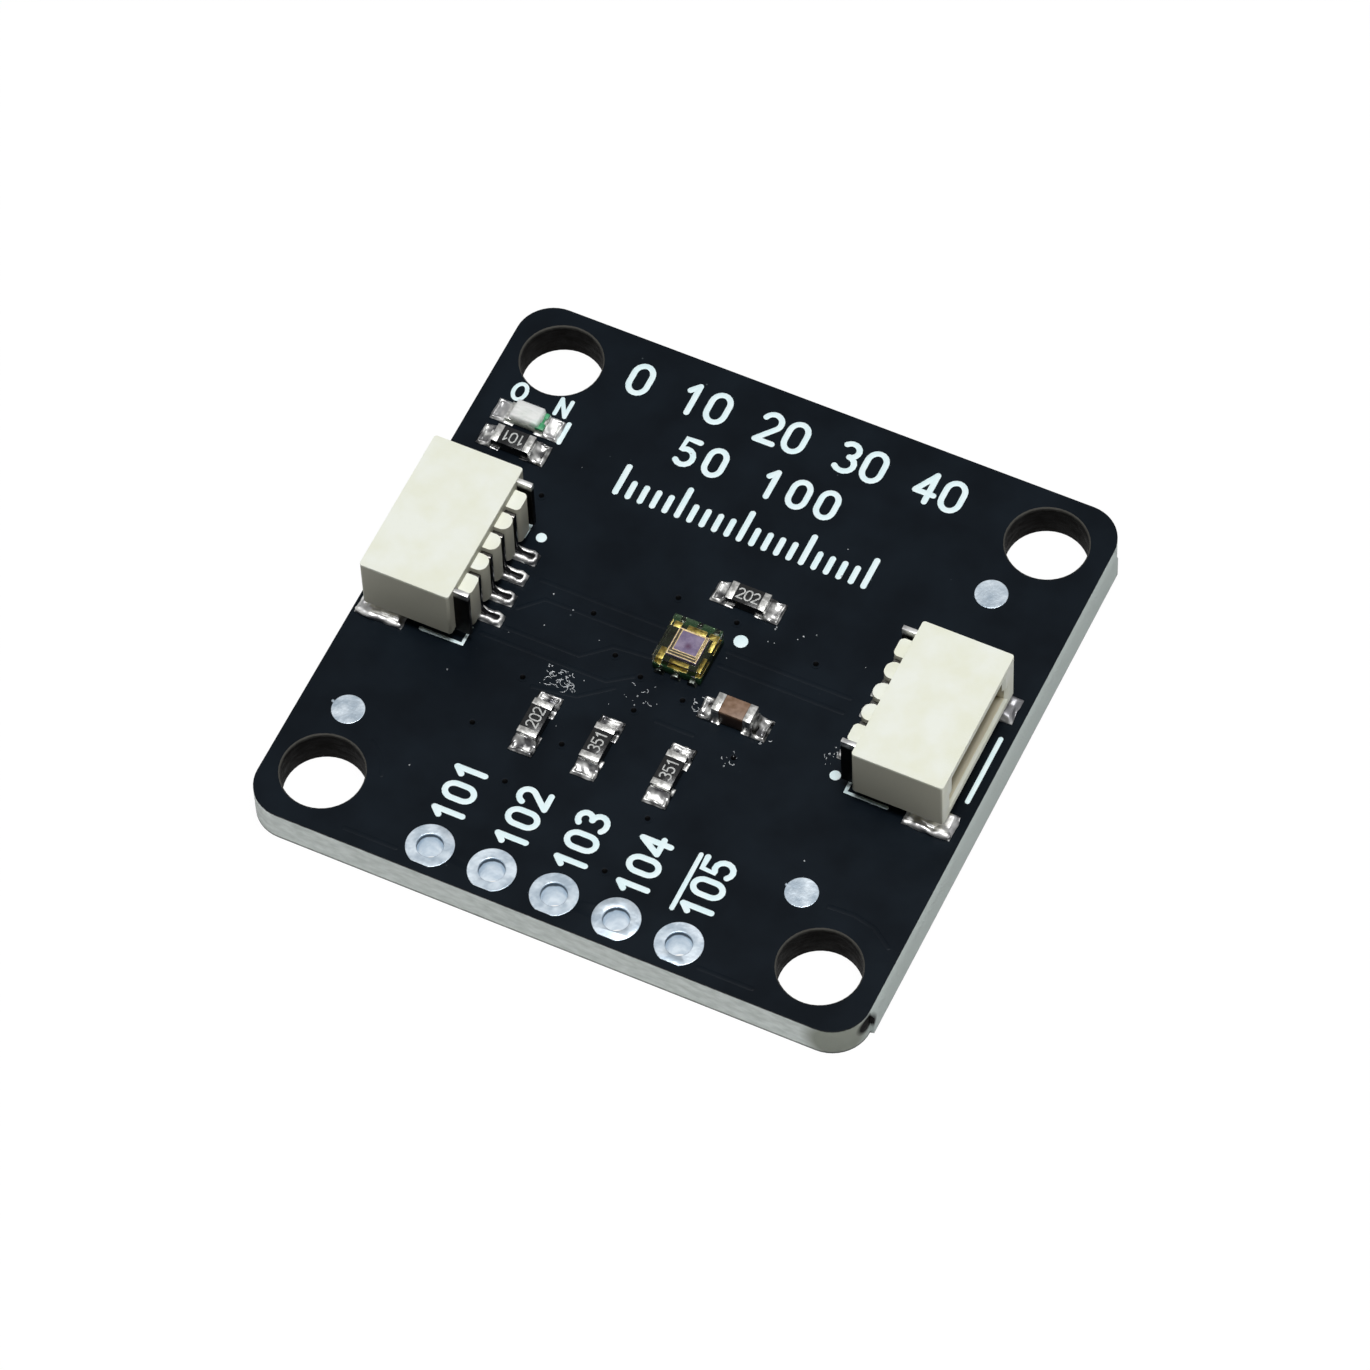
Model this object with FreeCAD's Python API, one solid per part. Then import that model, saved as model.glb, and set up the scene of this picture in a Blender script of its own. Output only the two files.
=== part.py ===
import FreeCAD, Part
import os
from FreeCAD import Vector

# Light sensor module: a small square circuit board with a see-through light sensor at its centre,
# a four-way side-entry connector on the left and on the right, chip parts and a row of header holes.
# Millimetres. The origin is the centre of the mounting-hole pattern on the board's underside,
# +Z is up through the component side and the header row lies on the -Y side.

os.makedirs("parts", exist_ok=True)

# Board
board_size_x = 25.0
board_size_y = 25.0
board_thickness = 1.6
board_corner_radius = 1.5
outline_shift_x = 0.1
outline_shift_y = -0.1
mounting_inset = 2.34
mounting_hole_diameter = 3.2
mounting_rim_chamfer = 0.05

# Ridge of torn laminate along the right edge, left where the board was broken from its panel
ridge_reach = 0.17
ridge_drop = 0.12
ridge_slope = 0.3
ridge_foot = 0.1

# Tinned copper, standing proud of the top face
copper_height = 0.04

# Header row, set in from the lower edge
header_count = 5
header_pitch = 2.54
header_row_inset = 1.17
header_hole_diameter = 1.02
header_plating = 0.06
header_pad_ring = 0.42
header_flat_inset = 0.31

# Round tinned discs, set in from the nearest side edge and from the lower or upper edge
disc_diameter = 1.29
left_disc_inset_x = 1.9
left_disc_inset_y = 5.24
right_disc_inset_x = 4.36
right_disc_inset_y = 5.01
upper_disc_inset_x = 3.4
upper_disc_inset_y = 5.2

# Connector housing
mouth_setback = 0.57
housing_depth = 4.25
housing_width = 6.4
housing_height = 3.2
housing_underside = 0.72
housing_front_radius = 0.12
plinth_side_inset = 1.05
plinth_front_inset = 0.25
plinth_rear_inset = 0.45

# Space for the plug, keyed by a step in each side wall
roof_wall = 0.45
floor_wall = 0.42
rear_wall = 0.77
lower_side_wall = 0.7
upper_side_wall = 0.9
key_step_drop = 0.85
mouth_bevel = 0.12

# Comb at the housing's rear
comb_length = 0.55
comb_drop = 0.43
comb_underside = 0.6
comb_gap = 0.26
inner_rib_radius = 0.34
outer_rib_width = 0.83
outer_rib_radius = 0.2

# Stamped contacts
contact_count = 4
contact_pitch = 1.0
contact_thickness = 0.2
contact_strip = 0.2
contact_lift = 0.05
contact_foot_reach = 0.7
contact_leg_inset = 0.1
contact_leg_width = 0.32
contact_top_drop = 0.17
contact_arm_depth = 0.5
contact_arm_height = 0.3
contact_blade_height = 0.32
contact_tip_setback = 0.95
contact_tip_taper = 0.3

# Anchor tabs in the side walls
anchor_thickness = 0.2
anchor_side_inset = 0.5
anchor_rear_reach = 0.06
anchor_rear_length = 0.85
anchor_top_drop = 0.1
anchor_rear_underside = 0.5
anchor_strip_underside = 0.85
anchor_strip_height = 0.8
anchor_foot_length = 1.35
anchor_foot_setback = 0.1
anchor_foot_width = 0.6

# Pads and solder under the connectors
pin_pad_reach = 0.75
pin_pad_length = 1.35
pin_pad_width = 0.6
pin_solder_height = 0.2
pin_solder_inset = 0.14
anchor_pad_reach = 0.35
anchor_pad_length = 2.0
anchor_pad_width = 1.2
anchor_pad_tuck = 1.0
anchor_solder_height = 0.26
anchor_solder_inset = 0.2

# Chip parts. The solder's hollow passes through a point given as shares of the fillet's reach and height.
chip_length = 1.6
chip_width = 0.8
chip_lift = 0.05
chip_pad_reach = 0.62
chip_pad_tuck = 0.38
chip_pad_margin = 0.11
fillet_side_inset = 0.13
fillet_bow_reach = 0.35
fillet_bow_height = 0.25
end_cap_wall = 0.03

resistor_height = 0.45
resistor_cap_length = 0.28
resistor_fillet_height = 0.36
upper_resistor_x = 1.08
upper_resistor_y = 3.09
lower_resistor_y = -5.06
lower_resistor_left_x = -3.84
lower_resistor_middle_x = -1.27
lower_resistor_right_x = 1.66

capacitor_height = 0.8
capacitor_cap_length = 0.31
capacitor_fillet_height = 0.5
capacitor_x = 2.82
capacitor_y = -1.8

# Indicator lamp and its resistor, a pair set in from the left edge. They lie in the space between
# the connector's anchor pad and the mounting hole, a little above its middle.
indicator_inset_x = 2.3
indicator_pair_pitch = 1.24
indicator_pair_shift = 0.52
indicator_base_height = 0.24
indicator_lens_height = 0.34
indicator_lens_length = 1.28
indicator_lens_inset = 0.08
indicator_cap_length = 0.3
indicator_fillet_height = 0.24

# Light sensor package
sensor_x = 0.02
sensor_y = 0.03
sensor_size_x = 1.98
sensor_size_y = 2.06
sensor_lift = 0.05
sensor_base_height = 0.34
sensor_clear_height = 0.48
sensor_notch_diameter = 0.22
sensor_terminal_pitch = 0.68
sensor_pad_width = 0.42
sensor_pad_length = 0.55
sensor_pad_reach = 0.16
sensor_bead_height = 0.25
sensor_bead_inset = 0.1
die_size = 1.25
die_height = 0.26
gold_thickness = 0.03
gold_width = 0.3
gold_strip_width = 0.2
gold_strip_gap = 0.32
gold_hook_length = 0.42
gold_corner_height = 0.62
gold_die_gap = 0.04
gold_edge_gap_x = 0.06
gold_edge_gap_y = 0.1
gold_finger_length = 0.78

half_x = board_size_x / 2
half_y = board_size_y / 2
left_edge = outline_shift_x - half_x
right_edge = outline_shift_x + half_x
lower_edge = outline_shift_y - half_y
upper_edge = outline_shift_y + half_y
mounting_x = half_x - mounting_inset
mounting_y = half_y - mounting_inset
header_y = lower_edge + header_row_inset


def block(x0, x1, y0, y1, z0, z1):
    """Box between two corners."""
    return Part.makeBox(x1 - x0, y1 - y0, z1 - z0, Vector(x0, y0, z0))


def centred_block(length, width, z0, z1):
    """Box centred on the Z axis."""
    return block(-length / 2, length / 2, -width / 2, width / 2, z0, z1)


def cylinder(radius, x, y, z0, z1):
    """Upright cylinder."""
    return Part.makeCylinder(radius, z1 - z0, Vector(x, y, z0))


def rounded_block(x0, x1, y0, y1, z0, z1, radius):
    """Box with its four upright edges rounded."""
    solid = block(x0, x1, y0, y1, z0, z1)
    upright = [edge for edge in solid.Edges if abs(edge.tangentAt(edge.FirstParameter).z) > 0.9]
    return solid.makeFillet(radius, upright)


def closed_outline(corners):
    """Closed wire through the corners."""
    return Part.makePolygon(corners + corners[:1])


def plate_in_xz(points, y_centre, thickness):
    """Flat plate with its outline in the XZ plane."""
    corners = [Vector(x, y_centre - thickness / 2, z) for x, z in points]
    return Part.Face(closed_outline(corners)).extrude(Vector(0, thickness, 0))


def tapered_block(x0, x1, y0, y1, z0, z1, inset_x, inset_y):
    """Block whose top is smaller than its foot by an inset on each side."""
    sections = []
    for z, dx, dy in ((z0, 0, 0), (z1, inset_x, inset_y)):
        corners = [
            Vector(x0 + dx, y0 + dy, z),
            Vector(x1 - dx, y0 + dy, z),
            Vector(x1 - dx, y1 - dy, z),
            Vector(x0 + dx, y1 - dy, z),
        ]
        sections.append(closed_outline(corners))
    return Part.makeLoft(sections, True, True)


def turned(shape, degrees):
    """Copy turned about the Z axis."""
    copy = shape.copy()
    copy.rotate(Vector(0, 0, 0), Vector(0, 0, 1), degrees)
    return copy


def on_board(shape, x, y, degrees):
    """Copy set on the board's top face at x, y and turned."""
    copy = turned(shape, degrees)
    copy.translate(Vector(x, y, board_thickness))
    return copy


def fused(solids):
    """One solid from several that touch or overlap."""
    return solids[0].fuse(solids[1:]).removeSplitter()


def export(name, solids):
    """Write one solid, or a group of like solids, as a node."""
    shape = solids[0] if len(solids) == 1 else Part.makeCompound(solids)
    shape.exportStep("parts/" + name + ".step")


def header_places():
    """X of each header hole, from left to right."""
    first = -header_pitch * (header_count - 1) / 2
    return [first + i * header_pitch for i in range(header_count)]


def make_header_pad(x):
    """Plated barrel, level with the underside, with a pad proud of the top face."""
    bore = header_hole_diameter / 2
    barrel = bore + header_plating
    pad = bore + header_pad_ring
    top = board_thickness + copper_height
    section = [
        (bore, 0),
        (barrel, 0),
        (barrel, board_thickness),
        (pad, board_thickness),
        (pad, top),
        (bore, top),
    ]
    face = Part.Face(closed_outline([Vector(r, 0, z) for r, z in section]))
    spool = face.revolve(Vector(0, 0, 0), Vector(0, 0, 1), 360)
    spool.translate(Vector(x, header_y, 0))
    flat_y = lower_edge + header_flat_inset
    return spool.common(block(x - pad, x + pad, flat_y, header_y + pad, 0, top))


def make_ridge():
    """Ridge of torn laminate on the straight part of the right edge."""
    ridge_top = board_thickness - ridge_drop
    crest_x = right_edge + ridge_reach
    root_x = right_edge - ridge_reach
    outline = [
        (root_x, 0),
        (right_edge, 0),
        (crest_x, ridge_foot),
        (crest_x, ridge_top - ridge_slope),
        (right_edge, ridge_top),
        (root_x, ridge_top),
    ]
    centre_y = (lower_edge + upper_edge) / 2
    return plate_in_xz(outline, centre_y, board_size_y - 2 * board_corner_radius)


def make_board(header_pads):
    """Bare board with its torn edge, its mounting holes and a seat for each plated barrel."""
    radius = board_corner_radius
    plate = rounded_block(left_edge, right_edge, lower_edge, upper_edge, 0, board_thickness, radius)
    solid = fused([plate, make_ridge()])
    radius = mounting_hole_diameter / 2
    rim_radius = radius + mounting_rim_chamfer
    rim_z = board_thickness - mounting_rim_chamfer
    for x in (-mounting_x, mounting_x):
        for y in (-mounting_y, mounting_y):
            solid = solid.cut(cylinder(radius, x, y, 0, board_thickness))
            rim = Part.makeCone(radius, rim_radius, mounting_rim_chamfer, Vector(x, y, rim_z))
            solid = solid.cut(rim)
    for x, pad in zip(header_places(), header_pads):
        solid = solid.cut(cylinder(header_hole_diameter / 2, x, header_y, 0, board_thickness))
        solid = solid.cut(pad)
    return solid


def make_disc(x, y):
    """Round tinned disc on the top face."""
    return cylinder(disc_diameter / 2, x, y, board_thickness, board_thickness + copper_height)


# The connector is drawn as the right one: mouth towards +X, z = 0 on the board's top face.

mouth_x = half_x - mouth_setback
rear_x = mouth_x - housing_depth
wall_x = rear_x + comb_length
housing_side = housing_width / 2
floor_z = housing_underside + floor_wall
roof_z = housing_height - roof_wall
step_z = roof_z - key_step_drop
comb_top = housing_height - comb_drop
contact_top = comb_top - contact_top_drop
blade_z = (floor_z + roof_z - contact_blade_height) / 2
foot_top = contact_lift + contact_strip


def contact_rows():
    """Y of each contact."""
    first = -contact_pitch * (contact_count - 1) / 2
    return [first + i * contact_pitch for i in range(contact_count)]


def make_contact(y):
    """Stamped contact: foot, upright leg, retaining arm and pointed blade."""
    foot_x = rear_x - contact_foot_reach
    leg_x = rear_x + contact_leg_inset
    leg_front = leg_x + contact_leg_width
    arm_z = contact_top - contact_arm_height
    tip_x = mouth_x - contact_tip_setback
    shoulder_x = tip_x - contact_tip_taper
    blade_top = blade_z + contact_blade_height
    outline = [
        (foot_x, contact_lift),
        (leg_front, contact_lift),
        (leg_front, blade_z),
        (shoulder_x, blade_z),
        (tip_x, (blade_z + blade_top) / 2),
        (shoulder_x, blade_top),
        (leg_front, blade_top),
        (leg_front, arm_z),
        (wall_x + contact_arm_depth, arm_z),
        (wall_x + contact_arm_depth, contact_top),
        (leg_x, contact_top),
        (leg_x, foot_top + contact_strip),
        (leg_x - contact_strip, foot_top),
        (foot_x + contact_strip / 2, foot_top),
        (foot_x, foot_top - contact_strip / 2),
    ]
    return plate_in_xz(outline, y, contact_thickness)


def make_anchor(side):
    """Anchor tab of one side wall: an upright plate and a foot turned outwards."""
    y = side * (housing_side - anchor_side_inset)
    plate_x = rear_x - anchor_rear_reach
    plate_front = plate_x + anchor_rear_length
    foot_front = mouth_x - anchor_foot_setback
    foot_rear = foot_front - anchor_foot_length
    strip_top = anchor_strip_underside + anchor_strip_height
    plate_top = housing_height - anchor_top_drop
    outline = [
        (plate_x, anchor_rear_underside),
        (plate_front, anchor_rear_underside),
        (plate_front, anchor_strip_underside),
        (foot_rear, anchor_strip_underside),
        (foot_rear, contact_lift),
        (foot_front, contact_lift),
        (foot_front, strip_top),
        (plate_front, strip_top),
        (plate_front, plate_top),
        (plate_x, plate_top),
    ]
    plate = plate_in_xz(outline, y, anchor_thickness)
    inner = y - side * anchor_thickness / 2
    low, high = sorted((inner, inner + side * anchor_foot_width))
    foot = block(foot_rear, foot_front, low, high, contact_lift, contact_lift + anchor_thickness)
    return fused([plate, foot])


def make_ribs():
    """Rear comb: round-ended ribs between the contacts and a wider one at each end."""
    ribs = []
    for index in range(contact_count + 1):
        centre = (index - contact_count / 2) * contact_pitch
        low = centre - (contact_pitch - comb_gap) / 2
        high = centre + (contact_pitch - comb_gap) / 2
        radius = inner_rib_radius
        if index == 0:
            low = high - outer_rib_width
            radius = outer_rib_radius
        if index == contact_count:
            high = low + outer_rib_width
            radius = outer_rib_radius
        root_x = wall_x + radius
        rib = rounded_block(rear_x, root_x + radius, low, high, comb_underside, comb_top, radius)
        ribs.append(rib.common(block(rear_x, root_x, low, high, comb_underside, comb_top)))
    return ribs


def key_outline(x, grow):
    """Plug-shaped outline at x: wide below the step, narrower above it."""
    lower = housing_side - lower_side_wall + grow
    upper = housing_side - upper_side_wall + grow
    corners = [
        (-lower, floor_z - grow),
        (lower, floor_z - grow),
        (lower, step_z + grow),
        (upper, step_z + grow),
        (upper, roof_z + grow),
        (-upper, roof_z + grow),
        (-upper, step_z + grow),
        (-lower, step_z + grow),
    ]
    return closed_outline([Vector(x, y, z) for y, z in corners])


def make_cavity():
    """Space for the plug with a bevelled mouth."""
    back_x = wall_x + rear_wall
    bevel_x = mouth_x - mouth_bevel
    hollow = Part.Face(key_outline(back_x, 0)).extrude(Vector(mouth_x - back_x, 0, 0))
    mouth = Part.makeLoft([key_outline(bevel_x, 0), key_outline(mouth_x, mouth_bevel)], True, True)
    return hollow.fuse(mouth)


def make_housing(metal):
    """Moulded housing with its comb, its cavity and a slot for each piece of metal."""
    side = housing_side
    radius = housing_front_radius
    shell = rounded_block(wall_x, mouth_x, -side, side, housing_underside, housing_height, radius)
    side -= plinth_side_inset
    plinth_rear = wall_x + plinth_rear_inset
    plinth = block(plinth_rear, mouth_x - plinth_front_inset, -side, side, 0, floor_z)
    solid = fused([shell, plinth] + make_ribs())
    solid = solid.cut(make_cavity())
    return solid.cut(metal)


def make_pin_solder(contact, y):
    """Pad and solder of one contact, heaped against both sides of its foot."""
    low = y - pin_pad_width / 2
    high = y + pin_pad_width / 2
    start = rear_x - pin_pad_reach
    heap_end = rear_x + contact_leg_inset
    pad = block(start, start + pin_pad_length, low, high, 0, copper_height)
    inset = pin_solder_inset
    heap = tapered_block(start, heap_end, low, high, 0, pin_solder_height, inset / 2, inset)
    return fused([pad, heap]).cut(contact)


def make_anchor_solder(anchor, side):
    """Pad and solder of one anchor tab, heaped round its foot."""
    inner = side * (housing_side - anchor_pad_tuck)
    low, high = sorted((inner, inner + side * anchor_pad_width))
    front = mouth_x + anchor_pad_reach
    rear = front - anchor_pad_length
    inset = anchor_solder_inset
    pad = block(rear, front, low, high, 0, copper_height)
    heap = tapered_block(rear, front, low, high, 0, anchor_solder_height, inset, inset)
    return fused([pad, heap]).cut(anchor)


def export_connector(prefix, degrees):
    """One connector, turned about the board's centre."""
    rows = contact_rows()
    contacts = [make_contact(y) for y in rows]
    anchors = [make_anchor(side) for side in (-1, 1)]
    pieces = {
        "housing": [make_housing(contacts + anchors)],
        "pin_solder": [make_pin_solder(contact, y) for contact, y in zip(contacts, rows)],
        "anchor_solder": [make_anchor_solder(anchor, side) for anchor, side in zip(anchors, (-1, 1))],
    }
    for number, contact in enumerate(contacts, 1):
        pieces["contact_" + str(number)] = [contact]
    for number, anchor in enumerate(anchors, 1):
        pieces["anchor_tab_" + str(number)] = [anchor]
    for name, solids in pieces.items():
        export(prefix + "_" + name, [on_board(solid, 0, 0, degrees) for solid in solids])


def make_chip_solder(side, fillet_height):
    """Pad and hollow fillet at one end of a chip part."""
    face_x = chip_length / 2
    outer_x = face_x + chip_pad_reach
    inner_x = face_x - chip_pad_tuck
    half = chip_width / 2 + chip_pad_margin
    start = Vector(face_x, -half, fillet_height)
    end = Vector(outer_x, -half, chip_lift)
    middle = start + (end - start) * fillet_bow_reach
    middle.z = chip_lift + (fillet_height - chip_lift) * fillet_bow_height
    corners = [
        end,
        Vector(outer_x, -half, 0),
        Vector(inner_x, -half, 0),
        Vector(inner_x, -half, chip_lift),
        Vector(face_x, -half, chip_lift),
        start,
    ]
    hollow = Part.Arc(start, middle, end).toShape()
    outline = Part.Wire([hollow] + Part.makePolygon(corners).Edges)
    bar = Part.Face(outline).extrude(Vector(0, 2 * half, 0))
    envelope = tapered_block(-outer_x, outer_x, -half, half, chip_lift, fillet_height, 0, fillet_side_inset)
    pad = block(inner_x, outer_x, -half, half, 0, chip_lift)
    joint = fused([pad, bar.common(envelope)])
    return joint if side > 0 else turned(joint, 180)


def split_chip(height, cap_length, wraps_sides):
    """Body and two folded end caps of a chip part."""
    side_wall = end_cap_wall if wraps_sides else 0
    top = chip_lift + height
    core_length = chip_length - 2 * end_cap_wall
    core_width = chip_width - 2 * side_wall
    core = centred_block(core_length, core_width, chip_lift + end_cap_wall, top - end_cap_wall)
    bare = centred_block(chip_length - 2 * cap_length, chip_width, chip_lift, top)
    caps = centred_block(chip_length, chip_width, chip_lift, top).cut([core, bare])
    return fused([core, bare]), caps.Solids


def export_soldered(name, caps, fillet_height, place):
    """End caps and solder of a chip part."""
    joints = [make_chip_solder(side, fillet_height) for side in (-1, 1)]
    export(name + "_end_caps", [on_board(cap, *place) for cap in caps])
    export(name + "_solder", [on_board(joint, *place) for joint in joints])


def export_resistor(name, x, y, degrees):
    """Chip resistor: its end caps leave the long sides of the body bare."""
    body, caps = split_chip(resistor_height, resistor_cap_length, False)
    export(name + "_body", [on_board(body, x, y, degrees)])
    export_soldered(name, caps, resistor_fillet_height, (x, y, degrees))


def export_capacitor():
    """Chip capacitor: its end caps wrap all round the body."""
    body, caps = split_chip(capacitor_height, capacitor_cap_length, True)
    place = (capacitor_x, capacitor_y, 0)
    export("capacitor_body", [on_board(body, *place)])
    export_soldered("capacitor", caps, capacitor_fillet_height, place)


def export_indicator(x, y):
    """Small lamp: pale base, folded end caps and a milky lens with drafted ends."""
    base, caps = split_chip(indicator_base_height, indicator_cap_length, False)
    base_top = chip_lift + indicator_base_height
    lens_half = indicator_lens_length / 2
    lens_top = base_top + indicator_lens_height
    side = chip_width / 2
    lens = tapered_block(-lens_half, lens_half, -side, side, base_top, lens_top, indicator_lens_inset, 0)
    export("indicator_base", [on_board(base, x, y, 0)])
    export("indicator_lens", [on_board(lens, x, y, 0)])
    export_soldered("indicator", caps, indicator_fillet_height, (x, y, 0))


def sensor_terminals():
    """X and side of each of the six sensor terminals."""
    return [(i * sensor_terminal_pitch, side) for side in (-1, 1) for i in (-1, 0, 1)]


def make_gold_leads(z0):
    """Gold leads round the die: corner pads, side strips, a hooked corner and two end fingers."""
    z1 = z0 + gold_thickness
    die_edge = die_size / 2 + gold_die_gap
    far_x = sensor_size_x / 2 - gold_edge_gap_x
    far_y = sensor_size_y / 2 - gold_edge_gap_y
    strip_x = far_x - gold_strip_width
    finger = gold_finger_length / 2
    hook = fused([
        block(far_x - gold_hook_length, far_x, die_edge, far_y, z0, z1),
        block(strip_x, far_x, gold_strip_gap / 2, far_y, z0, z1),
    ])
    return [
        hook,
        block(-far_x, -far_x + gold_width, die_edge, far_y, z0, z1),
        block(-finger, finger, die_edge, far_y, z0, z1),
        block(strip_x, far_x, -far_y, -gold_strip_gap / 2, z0, z1),
        block(-far_x, -die_edge, -far_y, gold_corner_height - far_y, z0, z1),
        block(-finger, finger, -far_y, -die_edge, z0, z1),
    ]


def make_sensor_joint(x, side):
    """Pad under one sensor terminal with a bead of solder against the package's edge."""
    edge = side * sensor_size_y / 2
    outer = edge + side * sensor_pad_reach
    half = sensor_pad_width / 2
    low, high = sorted((edge - side * sensor_pad_length, outer))
    pad = block(x - half, x + half, low, high, 0, sensor_lift)
    low, high = sorted((edge, outer))
    bead = tapered_block(x - half, x + half, low, high, 0, sensor_bead_height, sensor_bead_inset, 0)
    return fused([pad, bead])


def export_sensor():
    """Light sensor: green base with edge notches, gold leads, die and clear body."""
    base_top = sensor_lift + sensor_base_height
    base = centred_block(sensor_size_x, sensor_size_y, sensor_lift, base_top)
    for x, side in sensor_terminals():
        edge = side * sensor_size_y / 2
        base = base.cut(cylinder(sensor_notch_diameter / 2, x, edge, sensor_lift, base_top))
    leads = make_gold_leads(base_top)
    die = centred_block(die_size, die_size, base_top, base_top + die_height)
    clear = centred_block(sensor_size_x, sensor_size_y, base_top, base_top + sensor_clear_height)
    pieces = {
        "base": [base],
        "leads": leads,
        "die": [die],
        "clear_body": [clear.cut(leads + [die])],
        "solder": [make_sensor_joint(x, side) for x, side in sensor_terminals()],
    }
    for name, solids in pieces.items():
        export("sensor_" + name, [on_board(solid, sensor_x, sensor_y, 0) for solid in solids])


header_pads = [make_header_pad(x) for x in header_places()]
export("board", [make_board(header_pads)])
for number, pad in enumerate(header_pads, 1):
    export("header_pad_" + str(number), [pad])
export("tinned_disc_left", [make_disc(left_edge + left_disc_inset_x, lower_edge + left_disc_inset_y)])
export("tinned_disc_right", [make_disc(right_edge - right_disc_inset_x, lower_edge + right_disc_inset_y)])
export("tinned_disc_upper", [make_disc(right_edge - upper_disc_inset_x, upper_edge - upper_disc_inset_y)])
export_connector("right_connector", 0)
export_connector("left_connector", 180)
indicator_x = left_edge + indicator_inset_x
anchor_pad_edge = housing_side - anchor_pad_tuck + anchor_pad_width
hole_edge = mounting_y - mounting_hole_diameter / 2
pair_y = (anchor_pad_edge + hole_edge) / 2 + indicator_pair_shift
export_indicator(indicator_x, pair_y + indicator_pair_pitch / 2)
export_resistor("indicator_resistor", indicator_x, pair_y - indicator_pair_pitch / 2, 0)
export_resistor("upper_resistor", upper_resistor_x, upper_resistor_y, 0)
export_resistor("lower_resistor_left", lower_resistor_left_x, lower_resistor_y, 90)
export_resistor("lower_resistor_middle", lower_resistor_middle_x, lower_resistor_y, 90)
export_resistor("lower_resistor_right", lower_resistor_right_x, lower_resistor_y, 90)
export_capacitor()
export_sensor()
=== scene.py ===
"""Looks of the light sensor module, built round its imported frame.

Pieces are shaped in millimetres, one Blender unit to the millimetre, and brought to metres as they are
finished. Lengths, places and sizes of fields and arguments are in millimetres.
"""

import logging
import math
import random
from collections.abc import Callable, Iterator
from contextlib import contextmanager
from dataclasses import dataclass, replace
from enum import Enum

import bpy
from bpy.types import Curve, Material, MeshPolygon, NodeOutputs, NodeSocket, NodeTree, Object
from mathutils import Matrix, Vector


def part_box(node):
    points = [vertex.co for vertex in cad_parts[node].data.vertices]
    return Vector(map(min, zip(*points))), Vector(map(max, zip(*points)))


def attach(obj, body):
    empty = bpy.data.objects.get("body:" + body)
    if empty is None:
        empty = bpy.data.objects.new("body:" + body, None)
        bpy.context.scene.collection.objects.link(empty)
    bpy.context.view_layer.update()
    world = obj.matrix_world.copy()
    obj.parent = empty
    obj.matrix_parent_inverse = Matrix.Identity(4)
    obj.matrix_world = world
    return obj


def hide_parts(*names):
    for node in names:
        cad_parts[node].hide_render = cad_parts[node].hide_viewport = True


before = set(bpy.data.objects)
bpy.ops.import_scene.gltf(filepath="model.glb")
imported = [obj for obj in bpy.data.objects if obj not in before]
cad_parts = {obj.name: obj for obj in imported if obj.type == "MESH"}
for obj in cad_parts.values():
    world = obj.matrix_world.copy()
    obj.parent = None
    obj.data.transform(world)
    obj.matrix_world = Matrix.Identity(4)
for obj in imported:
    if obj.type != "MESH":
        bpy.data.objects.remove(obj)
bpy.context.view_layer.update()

LOG = logging.getLogger("light_sensor_module")
MM = 0.001
BOARD_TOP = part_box("tinned_disc_left")[0].z / MM
MOUNTING_PITCH = 20.32

Point = tuple[float, float]
Place = tuple[float, float, float]
Path = list[Point]
Patches = tuple[tuple[float, float, float, float, int], ...]


def linear(code: str) -> tuple[float, float, float, float]:
    """Turn an sRGB hex colour to linear light.

    Args:
        code: Colour as "#RRGGBB".

    Returns:
        Linear red, green, blue and an alpha of 1.
    """
    channels = [int(code[i:i + 2], 16) / 255 for i in (1, 3, 5)]
    light = [c / 12.92 if c <= 0.04045 else ((c + 0.055) / 1.055) ** 2.4 for c in channels]
    return (*light, 1.0)


def add_node(tree: NodeTree, kind: str, settings: dict | None = None,
             links: dict | None = None) -> NodeOutputs:
    """Add a node with its settings and links.

    Args:
        tree: Node tree that gets the node.
        kind: Blender's name for the node's type, without "ShaderNode".
        settings: Values of inputs, by name or number, or of the node's own properties.
        links: Outputs to link, by the name or number of the input.

    Returns:
        The new node's outputs.
    """
    node = tree.nodes.new("ShaderNode" + kind)
    for key, value in (settings or {}).items():
        if isinstance(key, str) and hasattr(node, key):
            setattr(node, key, value)
        else:
            node.inputs[key].default_value = value
    for key, output in (links or {}).items():
        tree.links.new(output, node.inputs[key])
    return node.outputs


@dataclass(frozen=True)
class Tint:
    """A colour that takes over some places of a finish.

    Attributes:
        code: The colour.
    """

    code: str

    def share(self, tree: NodeTree, place: NodeSocket) -> NodeSocket:
        """Work out how far the colour takes over.

        Args:
            tree: The material's node tree.
            place: Object coordinates.

        Returns:
            The share, from 0 to 1.
        """
        raise NotImplementedError

    def blend(self, tree: NodeTree, place: NodeSocket, tone: NodeSocket) -> NodeSocket:
        """Blend the colour in over a tone, by its share."""
        return add_node(tree, "Mix", {"data_type": "RGBA", 7: linear(self.code)},
                        {0: self.share(tree, place), 6: tone})[2]


@dataclass(frozen=True)
class Near(Tint):
    """A colour round a point.

    Attributes:
        centre: The point.
        inner: Distance at which the colour is full.
        outer: Distance at which it has gone.
    """

    centre: Place
    inner: float
    outer: float

    def share(self, tree: NodeTree, place: NodeSocket) -> NodeSocket:
        """Fade with the distance from the point."""
        far = add_node(tree, "VectorMath", {"operation": "DISTANCE", 1: Vector(self.centre) * MM}, {0: place})
        return add_node(tree, "MapRange", {"From Min": self.outer * MM, "From Max": self.inner * MM},
                        {"Value": far["Value"]})[0]


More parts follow.
